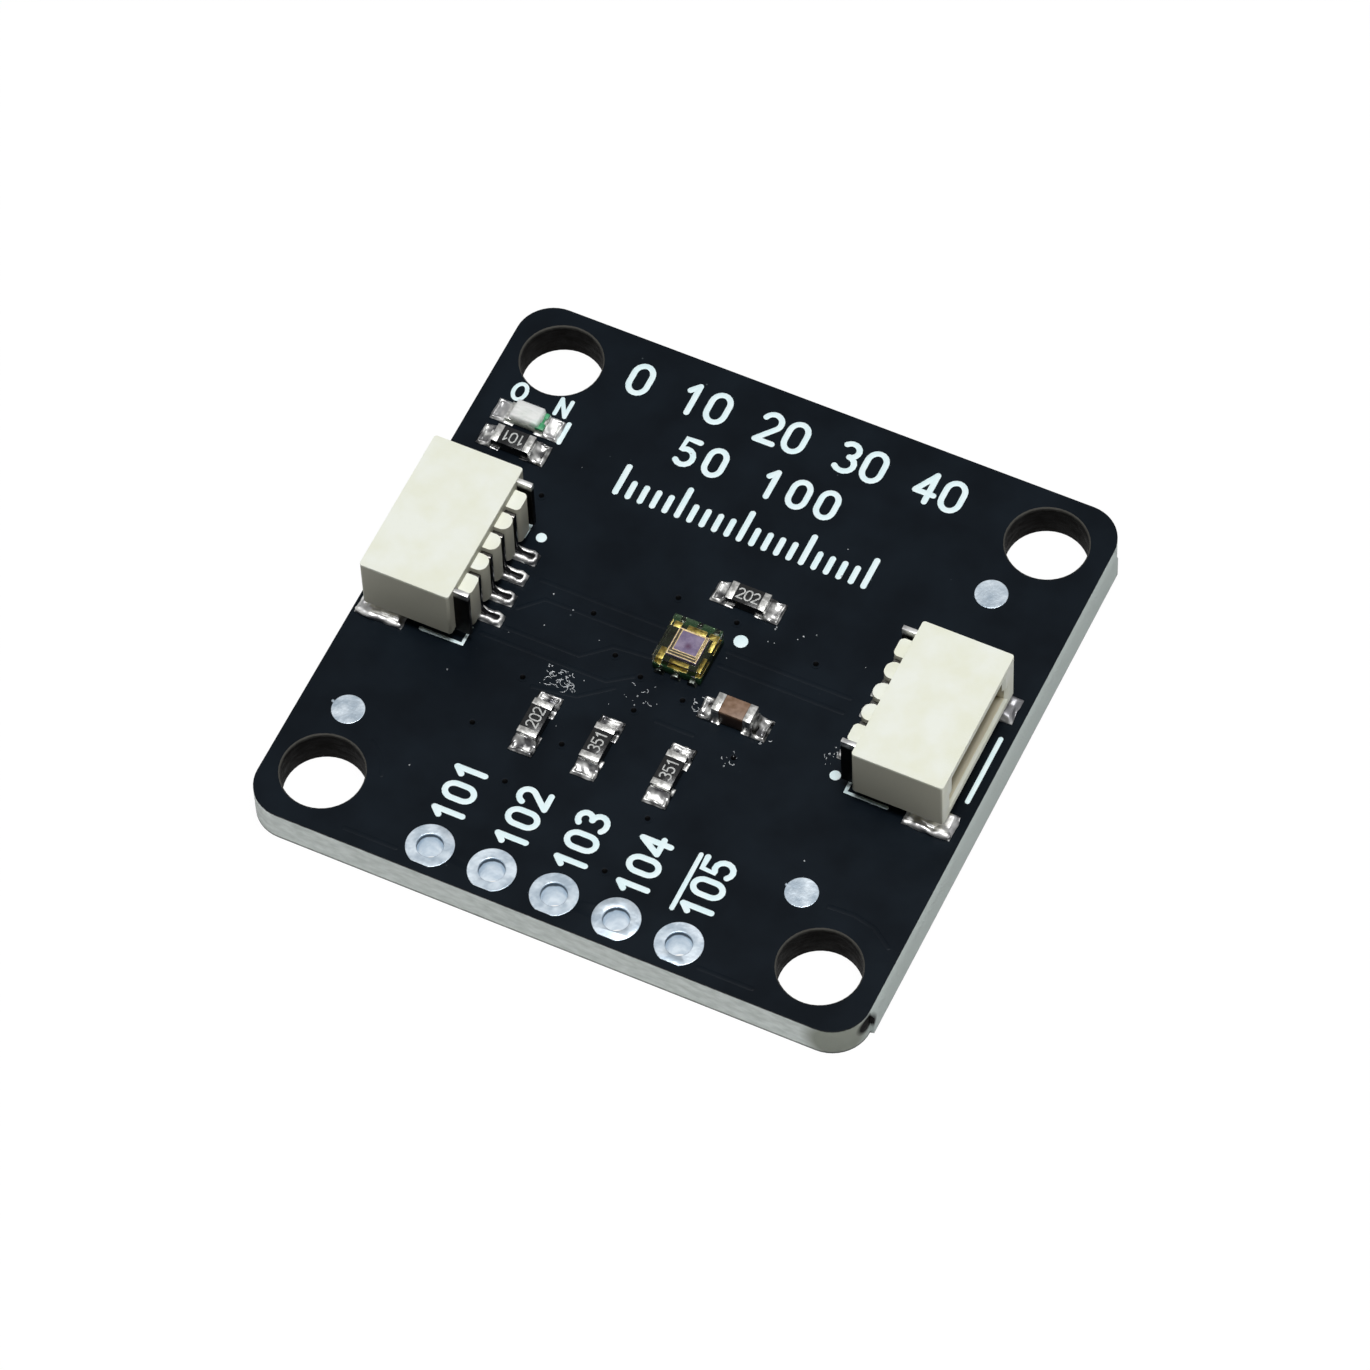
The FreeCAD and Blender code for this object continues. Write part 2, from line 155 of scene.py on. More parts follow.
@dataclass(frozen=True)
class Along(Tint):
    """A colour past a place on an axis.

    Attributes:
        start: Place at which the colour begins.
        end: Place at which it is full.
        wave: How far the line wanders to and fro.
        axis: The axis, "X", "Y" or "Z".
        both: Count to both sides of the origin alike.
        ripple: Length of the wander's waves.
        within: Another tint that the colour keeps to.
    """

    start: float
    end: float
    wave: float = 0.0
    axis: str = "Z"
    both: bool = False
    ripple: float = 0.3
    within: Tint | None = None

    def share(self, tree: NodeTree, place: NodeSocket) -> NodeSocket:
        """Rise from the start to the end, with a wandering line."""
        spot = add_node(tree, "SeparateXYZ", links={0: place})[self.axis]
        if self.both:
            spot = add_node(tree, "Math", {"operation": "ABSOLUTE"}, {0: spot})[0]
        waves = add_node(tree, "TexNoise", {"Scale": 1 / (self.ripple * MM), "Detail": 3.0},
                         {"Vector": place})
        wander = add_node(tree, "Math", {"operation": "MULTIPLY_ADD", 1: self.wave * 2 * MM},
                          {0: waves[0], 2: spot})
        share = add_node(tree, "MapRange",
                         {"From Min": (self.start + self.wave) * MM, "From Max": (self.end + self.wave) * MM},
                         {"Value": wander[0]})[0]
        if self.within:
            kept = self.within.share(tree, place)
            share = add_node(tree, "Math", {"operation": "MULTIPLY"}, {0: share, 1: kept})[0]
        return share


@dataclass(frozen=True)
class Finish:
    """A surface with two close tones in patches over a fine grain.

    Attributes:
        name: The material's name.
        pale: Lighter tone.
        deep: Darker tone.
        patch: Size of the patches of tone.
        grain: Size of the grain that breaks up the reflections.
        depth: Height of the grain.
        rough: Roughness in the deep and in the pale patches.
        stretch: How many times finer the patches are along X, Y and Z.
        detail: How finely the patches are broken up.
        metallic: Share of metal.
        specular: Strength of the mirroring of what isn't metal.
        others: Further shader inputs that are the same all over.
        tints: Colours that take over by place, in turn.
    """

    name: str
    pale: str
    deep: str
    patch: float
    grain: float
    depth: float
    rough: tuple[float, float]
    stretch: Place = (1.0, 1.0, 1.0)
    detail: float = 4.0
    metallic: float = 0.0
    specular: float = 0.5
    others: tuple[tuple[str, float | Place], ...] = ()
    tints: tuple[Tint, ...] = ()

    def material(self) -> Material:
        """Return the material, made at its first use."""
        made = bpy.data.materials.get(self.name)
        if made is None:
            made = bpy.data.materials.new(self.name)
            made.use_nodes = True
            self.build(made.node_tree)
        return made

    def build(self, tree: NodeTree) -> None:
        """Lay out the nodes: patches of tone and roughness, and a bump from the grain.

        Args:
            tree: The material's node tree.
        """
        shader = tree.nodes["Principled BSDF"]
        constants = (("Metallic", self.metallic), ("Specular IOR Level", self.specular), *self.others)
        for socket, value in constants:
            shader.inputs[socket].default_value = value
        place = add_node(tree, "TexCoord")["Object"]
        turned = add_node(tree, "Mapping", {"Scale": self.stretch}, {"Vector": place})[0]
        patches = add_node(tree, "TexNoise", {"Scale": 1 / (self.patch * MM), "Detail": self.detail},
                           {"Vector": turned})[0]
        share = add_node(tree, "MapRange", {"From Min": 0.35, "From Max": 0.65}, {"Value": patches})[0]
        tone = add_node(tree, "Mix", {"data_type": "RGBA", 6: linear(self.deep), 7: linear(self.pale)},
                        {0: share})[2]
        tree.links.new(self.tint(tree, place, tone), shader.inputs["Base Color"])
        low, high = self.rough
        polish = add_node(tree, "MapRange", {"To Min": low, "To Max": high}, {"Value": share})
        tree.links.new(polish[0], shader.inputs["Roughness"])
        grain = add_node(tree, "TexNoise", {"Scale": 1 / (self.grain * MM), "Detail": 3.0},
                         {"Vector": turned})
        bump = add_node(tree, "Bump", {"Distance": self.depth * MM}, {"Height": grain[0]})
        tree.links.new(bump[0], shader.inputs["Normal"])

    def tint(self, tree: NodeTree, place: NodeSocket, tone: NodeSocket) -> NodeSocket:
        """Change the tone by place.

        Args:
            tree: The material's node tree.
            place: Object coordinates.
            tone: Colour from the patches.

        Returns:
            Colour for the shader.
        """
        for each in self.tints:
            tone = each.blend(tree, place, tone)
        return tone


@dataclass(frozen=True)
class DustyLacquer(Finish):
    """Lacquer with pale dust on it.

    Attributes:
        cell: Size of the cells that may each hold a mote.
        mote: Radius of a mote.
    """

    cell: float = 0.9
    mote: float = 0.045

    def tint(self, tree: NodeTree, place: NodeSocket, tone: NodeSocket) -> NodeSocket:
        """Scatter the dust: one mote in each cell, and only in some of the cells."""
        cells = add_node(tree, "TexVoronoi", {"Scale": 1 / (self.cell * MM)}, {"Vector": place})
        mote = add_node(tree, "MapRange", {"From Min": self.mote / self.cell, "From Max": 0.0},
                        {"Value": cells["Distance"]})
        chosen = add_node(tree, "MapRange", {"From Min": 0.62, "From Max": 0.8, "To Max": 0.45},
                          {"Value": cells["Color"]})
        share = add_node(tree, "Math", {"operation": "MULTIPLY"}, {0: mote[0], 1: chosen[0]})
        return add_node(tree, "Mix", {"data_type": "RGBA", 7: linear("#8C969C")}, {0: share[0], 6: tone})[2]


@dataclass(frozen=True)
class BarrelTin(Finish):
    """Tin whose tints stop at the top face, where the tone comes back."""

    def tint(self, tree: NodeTree, place: NodeSocket, tone: NodeSocket) -> NodeSocket:
        """Keep the tints to the barrels."""
        share = Along(self.pale, 1.56, 1.6).share(tree, place)
        return add_node(tree, "Mix", {"data_type": "RGBA"},
                        {0: share, 6: super().tint(tree, place, tone), 7: tone})[2]


@dataclass(frozen=True)
class ClearCast(Finish):
    """See-through casting that light and shadow pass straight through."""

    def build(self, tree: NodeTree) -> None:
        """Let light through to what lies inside; only the camera sees its bending."""
        super().build(tree)
        light = add_node(tree, "LightPath")
        clear = add_node(tree, "BsdfTransparent", {"Color": linear("#F8F9F0")})
        unseen = add_node(tree, "Math", {"operation": "MAXIMUM"},
                          {0: light["Is Shadow Ray"], 1: light["Is Diffuse Ray"]})
        shader = tree.nodes["Principled BSDF"]
        shown = add_node(tree, "MixShader", links={0: unseen[0], 1: shader.outputs[0], 2: clear[0]})
        tree.links.new(shown[0], tree.nodes["Material Output"].inputs["Surface"])


# Dark photo-cured lacquer, screen coated: nearly black with a faint orange peel and stray dust.
SOLDER_MASK = DustyLacquer(
    "solder_mask_lacquer", "#0B141C", "#080F16", patch=2.2, grain=0.16, depth=0.0016, rough=(0.34, 0.44),
    specular=0.1,
)

# The same coat sunk over a drilled via: darker where it sags into the hole.
COVERED_VIA = replace(
    SOLDER_MASK, name="solder_mask_over_via", pale="#020203", deep="#010101", specular=0.03,
)

# Routed edge of glass-fibre laminate: pale grey-green with streaks along its layers, torn lacquer along
# the top, darker towards the bottom, greyed on the right-hand edge by painted shade, and the chafed and
# scorched corner that the photo shows.
LAMINATE_EDGE = Finish(
    "routed_glass_fibre_edge", "#F8FFFC", "#DFE7E3", patch=0.6, grain=0.09, depth=0.02,
    rough=(0.55, 0.75), stretch=(1.0, 1.0, 2.0), specular=0.05,
    tints=(
        # Painted shade: the right-hand edge greyer.
        Along("#C9D3D0", 12.4, 12.6, 0.05, "X"),
        Near("#A0A59B", (11.9, -12.3, 0.9), 0.9, 1.5),
        Near("#040303", (12.6, -11.35, 1.0), 0.34, 0.56),
        # Darker towards the bottom.
        Along("#4C524F", 0.16, 0.05, 0.03),
        Along("#0A1015", 1.5, 1.56, 0.03),
    ),
)

# Drilled wall of a bare hole: painted dark brown-black for the shade inside the hole, with a pale grey
# rim where the drill broke the lacquer.
DRILLED_WALL_IN_SHADE = Finish(
    "drilled_laminate_wall_painted_shade", "#0C0A09", "#060505", patch=0.5, grain=0.07, depth=0.02, rough=(0.5, 0.7),
    stretch=(1.0, 1.0, 3.0), specular=0.02, tints=(Along("#54534F", 1.4, 1.58, 0.05),),
)

# Screen-printed epoxy ink: opaque cool white, slightly uneven.
WHITE_INK = Finish(
    "white_epoxy_ink", "#EEFDFF", "#E3F9FC", patch=0.5, grain=0.06, depth=0.003, rough=(0.5, 0.6),
)

# Hot-air levelled tin on copper: satin bluish silver with cloudy patches, and painted shade darker round
# the top of the barrels, just below the rim.
TINNED_COPPER = BarrelTin(
    "levelled_tin_on_copper", "#E2EDF6", "#BFCFDD", patch=0.5, grain=0.12, depth=0.006,
    # The dark band is painted shade inside the barrels' rims.
    rough=(0.33, 0.39), metallic=1.0, tints=(Along("#4C5660", 1.34, 1.44, 0.1),),
)

# Tin solder melted in an oven: a bright skin, frosted where it froze last.
REFLOWED_SOLDER = Finish(
    "reflowed_tin_solder", "#F0F0EE", "#6C6C6F", patch=0.4, grain=0.2, depth=0.0015, rough=(0.16, 0.48),
    detail=1.0, metallic=1.0,
)

# The same solder where it froze slowly over a large pad: thick, pale and satin, and grey and flat on the
# pad behind the right connector's mouth.
FROSTED_SOLDER = replace(
    REFLOWED_SOLDER, name="frosted_tin_solder", pale="#FCFCFA", deep="#BCBCBE", patch=0.5,
    rough=(0.32, 0.6), tints=(Near("#A8A8AC", (11.4, 3.2, 1.7), 1.0, 1.4),),
)

# Solder drawn up in a narrow notch, painted dark as the shade there, with little to mirror.
NOTCH_SOLDER_IN_SHADE = replace(REFLOWED_SOLDER, name="notch_tin_solder_painted_shade", pale="#747974", deep="#3C413C")

# Tin-plated bronze strip, rolled and stamped: bright metal with fine lines along it, painted down to a dark
# grey as the shade between the ribs, and darker still low down over the feet as painted shade from the
# shaded comb that they mirror.
TINNED_STRIP_IN_SHADE = Finish(
    "tin_plated_strip_painted_shade", "#7C7A77", "#565452", patch=0.5, grain=0.05, depth=0.001, rough=(0.14, 0.24),
    # The dark tone and the darker band low down are painted shade.
    stretch=(0.3, 2.0, 1.0), metallic=1.0, tints=(Along("#2A2A2C", 4.0, 3.6, 0.02),),
)

# Thicker tin-plated strip of the anchor tabs: pale grey and satin, and black on the uprights nearest
# to the board's middle, below their tops.
ANCHOR_STRIP = Finish(
    "tin_plated_anchor", "#EAEAE8", "#C6C6C6", patch=0.4, grain=0.06, depth=0.001, rough=(0.36, 0.5),
    metallic=1.0, tints=(Along("#161515", 8.5, 8.3, axis="X", both=True, within=Along("", 4.5, 4.35)),),
)

# Injection-moulded heat-proof nylon: ivory, matt, yellowed in soft clouds.
MOULDED_NYLON = Finish(
    "moulded_ivory_nylon", "#F1F4EA", "#ECEEDC", patch=1.3, grain=0.07, depth=0.005, rough=(0.5, 0.62),
    specular=0.25,
)

# The same nylon down the end walls and the ribs of the comb, with painted shade: greyer below the top.
WALL_NYLON_IN_SHADE = replace(MOULDED_NYLON, name="moulded_ivory_nylon_walls_painted_shade", tints=(Along("#BCBBAC", 4.76, 4.66),))

# The same nylon inside the mouth: browner towards the back and the top, as light reaches it only
# through the walls.
SHADED_NYLON = replace(
    MOULDED_NYLON, name="moulded_ivory_nylon_inside",
    tints=(
        Along("#E2DCC2", 2.0, 2.1),
        Along("#A0986E", 11.7, 10.9, axis="X", both=True),
        Along("#6E6142", 2.9, 4.2),
    ),
)

# Plated end of a chip part: satin tin over a rough ceramic end.
END_CAP_TIN = Finish(
    "plated_chip_end", "#F1F1EE", "#BDBDBA", patch=0.16, grain=0.05, depth=0.006, rough=(0.3, 0.42),
    metallic=1.0,
)

# Fired glass glaze of a chip resistor: smooth glossy black.
BLACK_GLAZE = Finish(
    "black_resistor_glaze", "#16171A", "#0B0C0E", patch=0.3, grain=0.08, depth=0.004, rough=(0.22, 0.34),
)

# Fired ceramic of a chip capacitor: soft pinkish brown, darker on the cut sides below the top face as painted
# shade.
BROWN_CERAMIC = Finish(
    "fired_brown_ceramic", "#8D725F", "#70553F", patch=0.22, grain=0.04, depth=0.004, rough=(0.42, 0.55),
    # Painted shade on the sides.
    tints=(Along("#2A1D16", 2.42, 2.3, 0.02),),
)

# Cloudy cast epoxy of a lamp's lens: greyish white, waxy, with faint streaks, lit through from above,
# with a faint painted glow that lifts its shaded sides, and green at the corner that covers the mark.
MILKY_EPOXY = Finish(
    "milky_cast_epoxy", "#F0F2EE", "#D9DED8", patch=0.35, grain=0.08, depth=0.004, rough=(0.25, 0.4),
    stretch=(0.6, 2.0, 1.0),
    others=(
        ("Subsurface Weight", 1.0),
        ("Subsurface Radius", (1.0, 1.0, 0.95)),
        ("Subsurface Scale", 0.0006),
        # A faint painted glow.
        ("Emission Strength", 0.09),
    ),
    tints=(Near("#8FC6A8", (-9.5, 6.72, 1.95), 0.08, 0.42),),
)

# Thin white laminate under the lamp: pale grey-green with a woven look.
PALE_LAMINATE = Finish(
    "white_lamp_laminate", "#D2D9CC", "#A9B3A3", patch=0.2, grain=0.05, depth=0.004, rough=(0.5, 0.6),
)

# Printed mark at the lamp's cathode: bright green, satin, a little uneven.
GREEN_MARK = Finish(
    "green_cathode_ink", "#4FA776", "#2C7F52", patch=0.15, grain=0.04, depth=0.002, rough=(0.3, 0.4),
)

# Lacquered laminate of the sensor's carrier: nearly black green, brighter along the two notched edges with a
# painted green sheen.
GREEN_LAMINATE = Finish(
    "green_carrier_laminate", "#16210F", "#090D06", patch=0.25, grain=0.05, depth=0.006,
    rough=(0.35, 0.5), specular=0.2,
    # Painted green sheen along the notched edges.
    tints=(Along("#1D4029", 0.84, 0.96, 0.05, "Y"), Along("#1B3A24", -0.78, -0.9, 0.05, "Y")),
)

# Electroplated gold leads: warm yellow, a little uneven in depth.
GOLD_PLATE = Finish(
    "plated_gold_lead", "#E3D592", "#AF9D58", patch=0.18, grain=0.05, depth=0.004, rough=(0.3, 0.4),
    metallic=1.0,
)

# Aluminium tracks round the edge of the die: pale pinkish silver.
DIE_TRACKS = Finish(
    "die_track_aluminium", "#E2CDA6", "#BFA477", patch=0.1, grain=0.03, depth=0.001, rough=(0.35, 0.45),
    metallic=0.5,
)

# Bare oxide between the tracks at the edge of the die: brown-black.
DIE_BORDER = Finish(
    "die_border_oxide", "#3E3024", "#231A14", patch=0.1, grain=0.03, depth=0.001, rough=(0.35, 0.45),
)

# Silicon die under a thin filter coating: dusty violet with a dark smudge near its middle.
COATED_SILICON = Finish(
    "filter_coated_silicon", "#A293C4", "#8273A8", patch=0.3, grain=0.04, depth=0.001, rough=(0.3, 0.4),
    tints=(Near("#6A4A78", (0.05, 0.0, 2.25), 0.03, 0.2),),
)

# Water-clear moulding epoxy over the sensor: shows the die and the gold, with a faint warm cast.
CLEAR_EPOXY = ClearCast(
    "clear_moulding_epoxy", "#FBFBF2", "#F3F4E4", patch=0.8, grain=0.3, depth=0.001, rough=(0.02, 0.06),
    others=(("Transmission Weight", 1.0), ("IOR", 1.3)),
)

# Number marked on a resistor's glaze: thin greyish white.
LASER_MARK = Finish(
    "pale_mark_on_glaze", "#CFD1CF", "#A6A8A6", patch=0.12, grain=0.04, depth=0.001, rough=(0.45, 0.55),
)

# Dried flux: glassy grey-white crumbs and smears left beside the solder.
FLUX_RESIDUE = Finish(
    "dried_flux_residue", "#CDD1D4", "#7E8488", patch=0.12, grain=0.04, depth=0.004, rough=(0.15, 0.35),
)


def select_only(obj: Object) -> None:
    """Make an object the only one that is selected, and the active one."""
    bpy.ops.object.select_all(action="DESELECT")
    obj.select_set(True)
    bpy.context.view_layer.objects.active = obj


def add_object(name: str, data: bpy.types.ID) -> Object:
    """Put a mesh, curve, lamp or camera in the scene as an object."""
    obj = bpy.data.objects.new(name, data)
    bpy.context.scene.collection.objects.link(obj)
    return obj


@contextmanager
def edit_mode(obj: Object, test: Callable[[MeshPolygon], bool] = lambda face: True) -> Iterator[None]:
    """Open an object in edit mode with just some faces selected, and close it afterwards.

    Args:
        obj: The mesh object.
        test: Says of a face whether it is selected.

    Yields:
        Nothing; operators called inside act on the selected faces.
    """
    select_only(obj)
    mesh = obj.data
    for item in (*mesh.vertices, *mesh.edges):
        item.select = False
    for face in mesh.polygons:
        face.select = test(face)
    bpy.ops.object.mode_set(mode="EDIT")
    bpy.ops.mesh.select_mode(type="FACE")
    yield
    bpy.ops.object.mode_set(mode="OBJECT")


def apply_modifier(obj: Object, kind: str, **settings: object) -> None:
    """Add a modifier, set it and apply it.

    Args:
        obj: The mesh object.
        kind: Blender's name for the modifier's type.
        **settings: The modifier's properties.
    """
    select_only(obj)
    modifier = obj.modifiers.new(kind, kind)
    for key, value in settings.items():
        setattr(modifier, key, value)
    bpy.ops.object.modifier_apply(modifier=modifier.name)


def apply_place(obj: Object, scale: float = 1.0) -> None:
    """Move an object's place, turn and scale into its mesh.

    Args:
        obj: The object.
        scale: Factor by which it also grows.
    """
    select_only(obj)
    obj.location = obj.location * scale
    obj.scale = obj.scale * scale
    bpy.ops.object.transform_apply(location=True, rotation=True, scale=True)


def soften(obj: Object, width: float, segments: int = 2, angle: float = 35.0) -> None:
    """Round an object's sharp edges.

    Args:
        obj: The mesh object.
        width: Width of the rounding.
        segments: Steps across it.
        angle: Least angle of an edge that is rounded, in degrees.
    """
    apply_modifier(obj, "BEVEL", width=width, segments=segments, limit_method="ANGLE",
                   angle_limit=math.radians(angle), harden_normals=False)


def roughen(obj: Object, size: float, height: float) -> None:
    """Push an object's surface in and out in soft lumps.

    Args:
        obj: The mesh object.
        size: Size of the lumps.
        height: How far they stand out.
    """
    texture = bpy.data.textures.new(obj.name + "_lumps", "CLOUDS")
    texture.noise_scale = size
    texture.noise_depth = 1
    apply_modifier(obj, "DISPLACE", texture=texture, strength=height, mid_level=0.5)


def raise_flat(obj: Object, rise: float, wall: float = 0.0) -> Object:
    """Thicken a flat face upwards, whole or as a ring.

    Args:
        obj: The face.
        rise: Its thickness.
        wall: Width of the ring, or 0 for the whole face.

    Returns:
        The same object.
    """
    apply_place(obj)
    if wall:
        with edit_mode(obj):
            bpy.ops.mesh.inset(thickness=wall)
            bpy.ops.mesh.delete(type="FACE")
    apply_modifier(obj, "SOLIDIFY", thickness=rise, offset=1.0)
    return obj


def joined(parts: list[Object], name: str) -> Object:
    """Join objects into one.

    Args:
        parts: The objects, at least one.
        name: Name of the result.

    Returns:
        The joined object.
    """
    select_only(parts[0])
    for part in parts[1:]:
        part.select_set(True)
    if len(parts) > 1:
        bpy.ops.object.join()
    parts[0].name = name
    parts[0].data.name = name
    return parts[0]


def placed_copy(model: Object, x: float, y: float, turn: float = 0.0, scale: float = 1.0) -> Object:
    """Copy a modelled piece with its own mesh and set it on the board.

    Args:
        model: The piece, modelled round the origin.
        x: Place along X.
        y: Place along Y.
        turn: Turn about Z, in degrees.
        scale: Size against the model.

    Returns:
        The copy.
    """
    copy = add_object(model.name, model.data.copy())
    copy.location = (x, y, BOARD_TOP)
    copy.rotation_euler.z = math.radians(turn)
    copy.scale = (scale, scale, scale)
    apply_place(copy)
    return copy


def copy_node(node: str, name: str) -> Object:
    """Copy a CAD node as one closed skin with flat faces merged, in millimetres.

    Args:
        node: The CAD node's name.
        name: Name of the copy.

    Returns:
        The new object.
    """
    obj = add_object(name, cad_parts[node].data.copy())
    apply_place(obj, 1 / MM)
    bpy.ops.mesh.customdata_custom_splitnormals_clear()
    with edit_mode(obj):
        bpy.ops.mesh.remove_doubles(threshold=0.0005)
        bpy.ops.mesh.dissolve_limited(angle_limit=math.radians(1.0))
        bpy.ops.mesh.normals_make_consistent(inside=False)
    return obj


def finish_piece(obj: Object, slot: str, *finishes: Finish, replaced: str = "", angle: float = 40.0) -> None:
    """Bring a piece to metres, shade and dress it, hang it from the root body and hide what it replaces.

    Args:
        obj: The piece, in millimetres.
        slot: Name of its material slot; not used.
        *finishes: Its finishes, in the order of its faces' material numbers.
        replaced: CAD node that it stands for.
        angle: Edges sharper than this stay sharp, in degrees.
    """
    apply_place(obj, MM)
    bpy.ops.object.shade_smooth_by_angle(angle=math.radians(angle))
    numbers = [face.material_index for face in obj.data.polygons]
    obj.data.materials.clear()
    for finish in finishes:
        obj.data.materials.append(finish.material())
    for face, number in zip(obj.data.polygons, numbers):
        face.material_index = number if len(finishes) > 1 else 0
    if angle < 180.0:
        apply_modifier(obj, "WEIGHTED_NORMAL", keep_sharp=True)
    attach(obj, "root")
    if replaced:
        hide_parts(replaced)
    LOG.info("%s: %d faces, %s", obj.name, len(obj.data.polygons), finishes[0].name)


def dress_node(node: str, ending: str, slot: str, finish: Finish, width: float, segments: int = 2) -> None:
    """Put a copy with rounded edges in a CAD node's place, and dress it.

    Args:
        node: The CAD node's name.
        ending: What its name gets at the end.
        slot: Name of its material slot.
        finish: Its finish.
        width: Width of the rounding.
        segments: Steps across the rounding.
    """
    obj = copy_node(node, f"{node}_{ending}")
    soften(obj, width, segments)
    finish_piece(obj, slot, finish, replaced=node)


def arc(x: float, y: float, wide: float, high: float, start: float, end: float, steps: int = 10) -> Path:
    """Points along part of an ellipse.

    Args:
        x: Centre along X.
        y: Centre along Y.
        wide: Half its width.
        high: Half its height.
        start: First angle, in degrees.
        end: Last angle, in degrees.
        steps: Number of steps between them.

    Returns:
        The points, from start to end.
    """
    angles = [math.radians(start + (end - start) * i / steps) for i in range(steps + 1)]
    return [(x + wide * math.cos(a), y + high * math.sin(a)) for a in angles]


class Glyph(Enum):
    """Strokes of the plain characters, on a cell 0.6 wide and 1 high."""

    ZERO = ("0", [arc(0.3, 0.68, 0.28, 0.32, 0, 180) + arc(0.3, 0.32, 0.28, 0.32, 180, 360) + [(0.58, 0.68)]])
    ONE = ("1", [[(0.12, 0.76), (0.34, 1.0)], [(0.34, 1.0), (0.34, 0.0)]])
    TWO = ("2", [arc(0.29, 0.72, 0.27, 0.28, 160, -35) + [(0.03, 0.0)], [(0.03, 0.0), (0.58, 0.0)]])
    THREE = ("3", [arc(0.28, 0.76, 0.25, 0.24, 140, -80), arc(0.27, 0.27, 0.3, 0.27, 80, -140)])
    FOUR = ("4", [[(0.44, 0.0), (0.44, 1.0)], [(0.44, 1.0), (0.02, 0.3)], [(0.02, 0.3), (0.6, 0.3)]])
    FIVE = ("5", [[(0.54, 1.0), (0.09, 1.0), (0.06, 0.57)] + arc(0.27, 0.31, 0.29, 0.31, 122, -140)])
    BIG_O = ("O", [arc(0.3, 0.5, 0.34, 0.5, 0, 360, 20)])
    BIG_N = ("N", [[(0.02, 0.0), (0.02, 1.0)], [(0.02, 1.0), (0.58, 0.0)], [(0.58, 0.0), (0.58, 1.0)]])

    @classmethod
    def strokes(cls, character: str) -> list[Path]:
        """Return a character's strokes; a space has none."""
        return next((glyph.value[1] for glyph in cls if glyph.value[0] == character), [])


@dataclass(frozen=True)
class Pen:
    """Lays round-ended strokes that stand a little out of a surface.

    Attributes:
        width: Width of a stroke.
        rise: How far it stands out.
        ground: Height of the surface.
    """

    width: float
    rise: float
    ground: float = BOARD_TOP

    def add_spline(self, curve: Curve, path: Path) -> None:
        """Add a path to a curve, with its ends rounded off.

        Args:
            curve: The curve that gets a spline.
            path: Centre line of the stroke.
        """
        points = [Vector((*p, 0.0)) for p in path]
        head = (points[0] - points[1]).normalized() * self.width / 2
        tail = (points[-1] - points[-2]).normalized() * self.width / 2
        cap = [math.radians(angle) for angle in (88, 65, 40, 20)]
        rows = [(points[0] + head * math.sin(a), math.cos(a)) for a in cap]
        rows += [(p, 1.0) for p in points]
        rows += [(points[-1] + tail * math.sin(a), math.cos(a)) for a in reversed(cap)]
        spline = curve.splines.new("POLY")
        spline.points.add(len(rows) - 1)
        for point, (place, radius) in zip(spline.points, rows):
            point.co = (*place, 1.0)
            point.radius = radius

    def draw(self, name: str, paths: list[Path], whole: bool = False) -> Object:
        """Draw strokes as one raised mesh.

        Args:
            name: Name of the object.
            paths: Centre lines.
            whole: Keep the closed tubes, also below the ground.

        Returns:
            The object, in millimetres.
        """
        curve = bpy.data.curves.new(name, "CURVE")
        curve.dimensions = "3D"
        curve.bevel_depth = self.width / 2
        curve.bevel_resolution = 2
        curve.use_fill_caps = True
        for path in paths:
            self.add_spline(curve, path)
        select_only(add_object(name, curve))
        bpy.ops.object.convert(target="MESH")
        obj = bpy.context.view_layer.objects.active
        obj.scale.z = self.rise / (self.width / 2)
        obj.location.z = self.ground
        apply_place(obj)
        if not whole:
            with edit_mode(obj):
                bpy.ops.mesh.bisect(plane_co=(0, 0, self.ground), plane_no=(0, 0, 1), clear_inner=True)
        return obj

    def write(self, text: str, x: float, y: float, height: float, pitch: float,
              turn: float = 0.0) -> list[Path]:
        """Work out the strokes of a line of characters.

        Args:
            text: The characters.
            x: Left end of the baseline.
            y: The baseline.
            height: Height of a character over its stroke's middle.
            pitch: Distance from one character to the next.
            turn: Turn of the line about its left end, in degrees.

        Returns:
            The strokes' centre lines.
        """
        cos, sin = math.cos(math.radians(turn)), math.sin(math.radians(turn))
        paths = []
        for number, character in enumerate(text):
            for stroke in Glyph.strokes(character):
                local = [(number * pitch + u * height, v * height) for u, v in stroke]
                paths.append([(x + u * cos - v * sin, y + u * sin + v * cos) for u, v in local])
        return paths


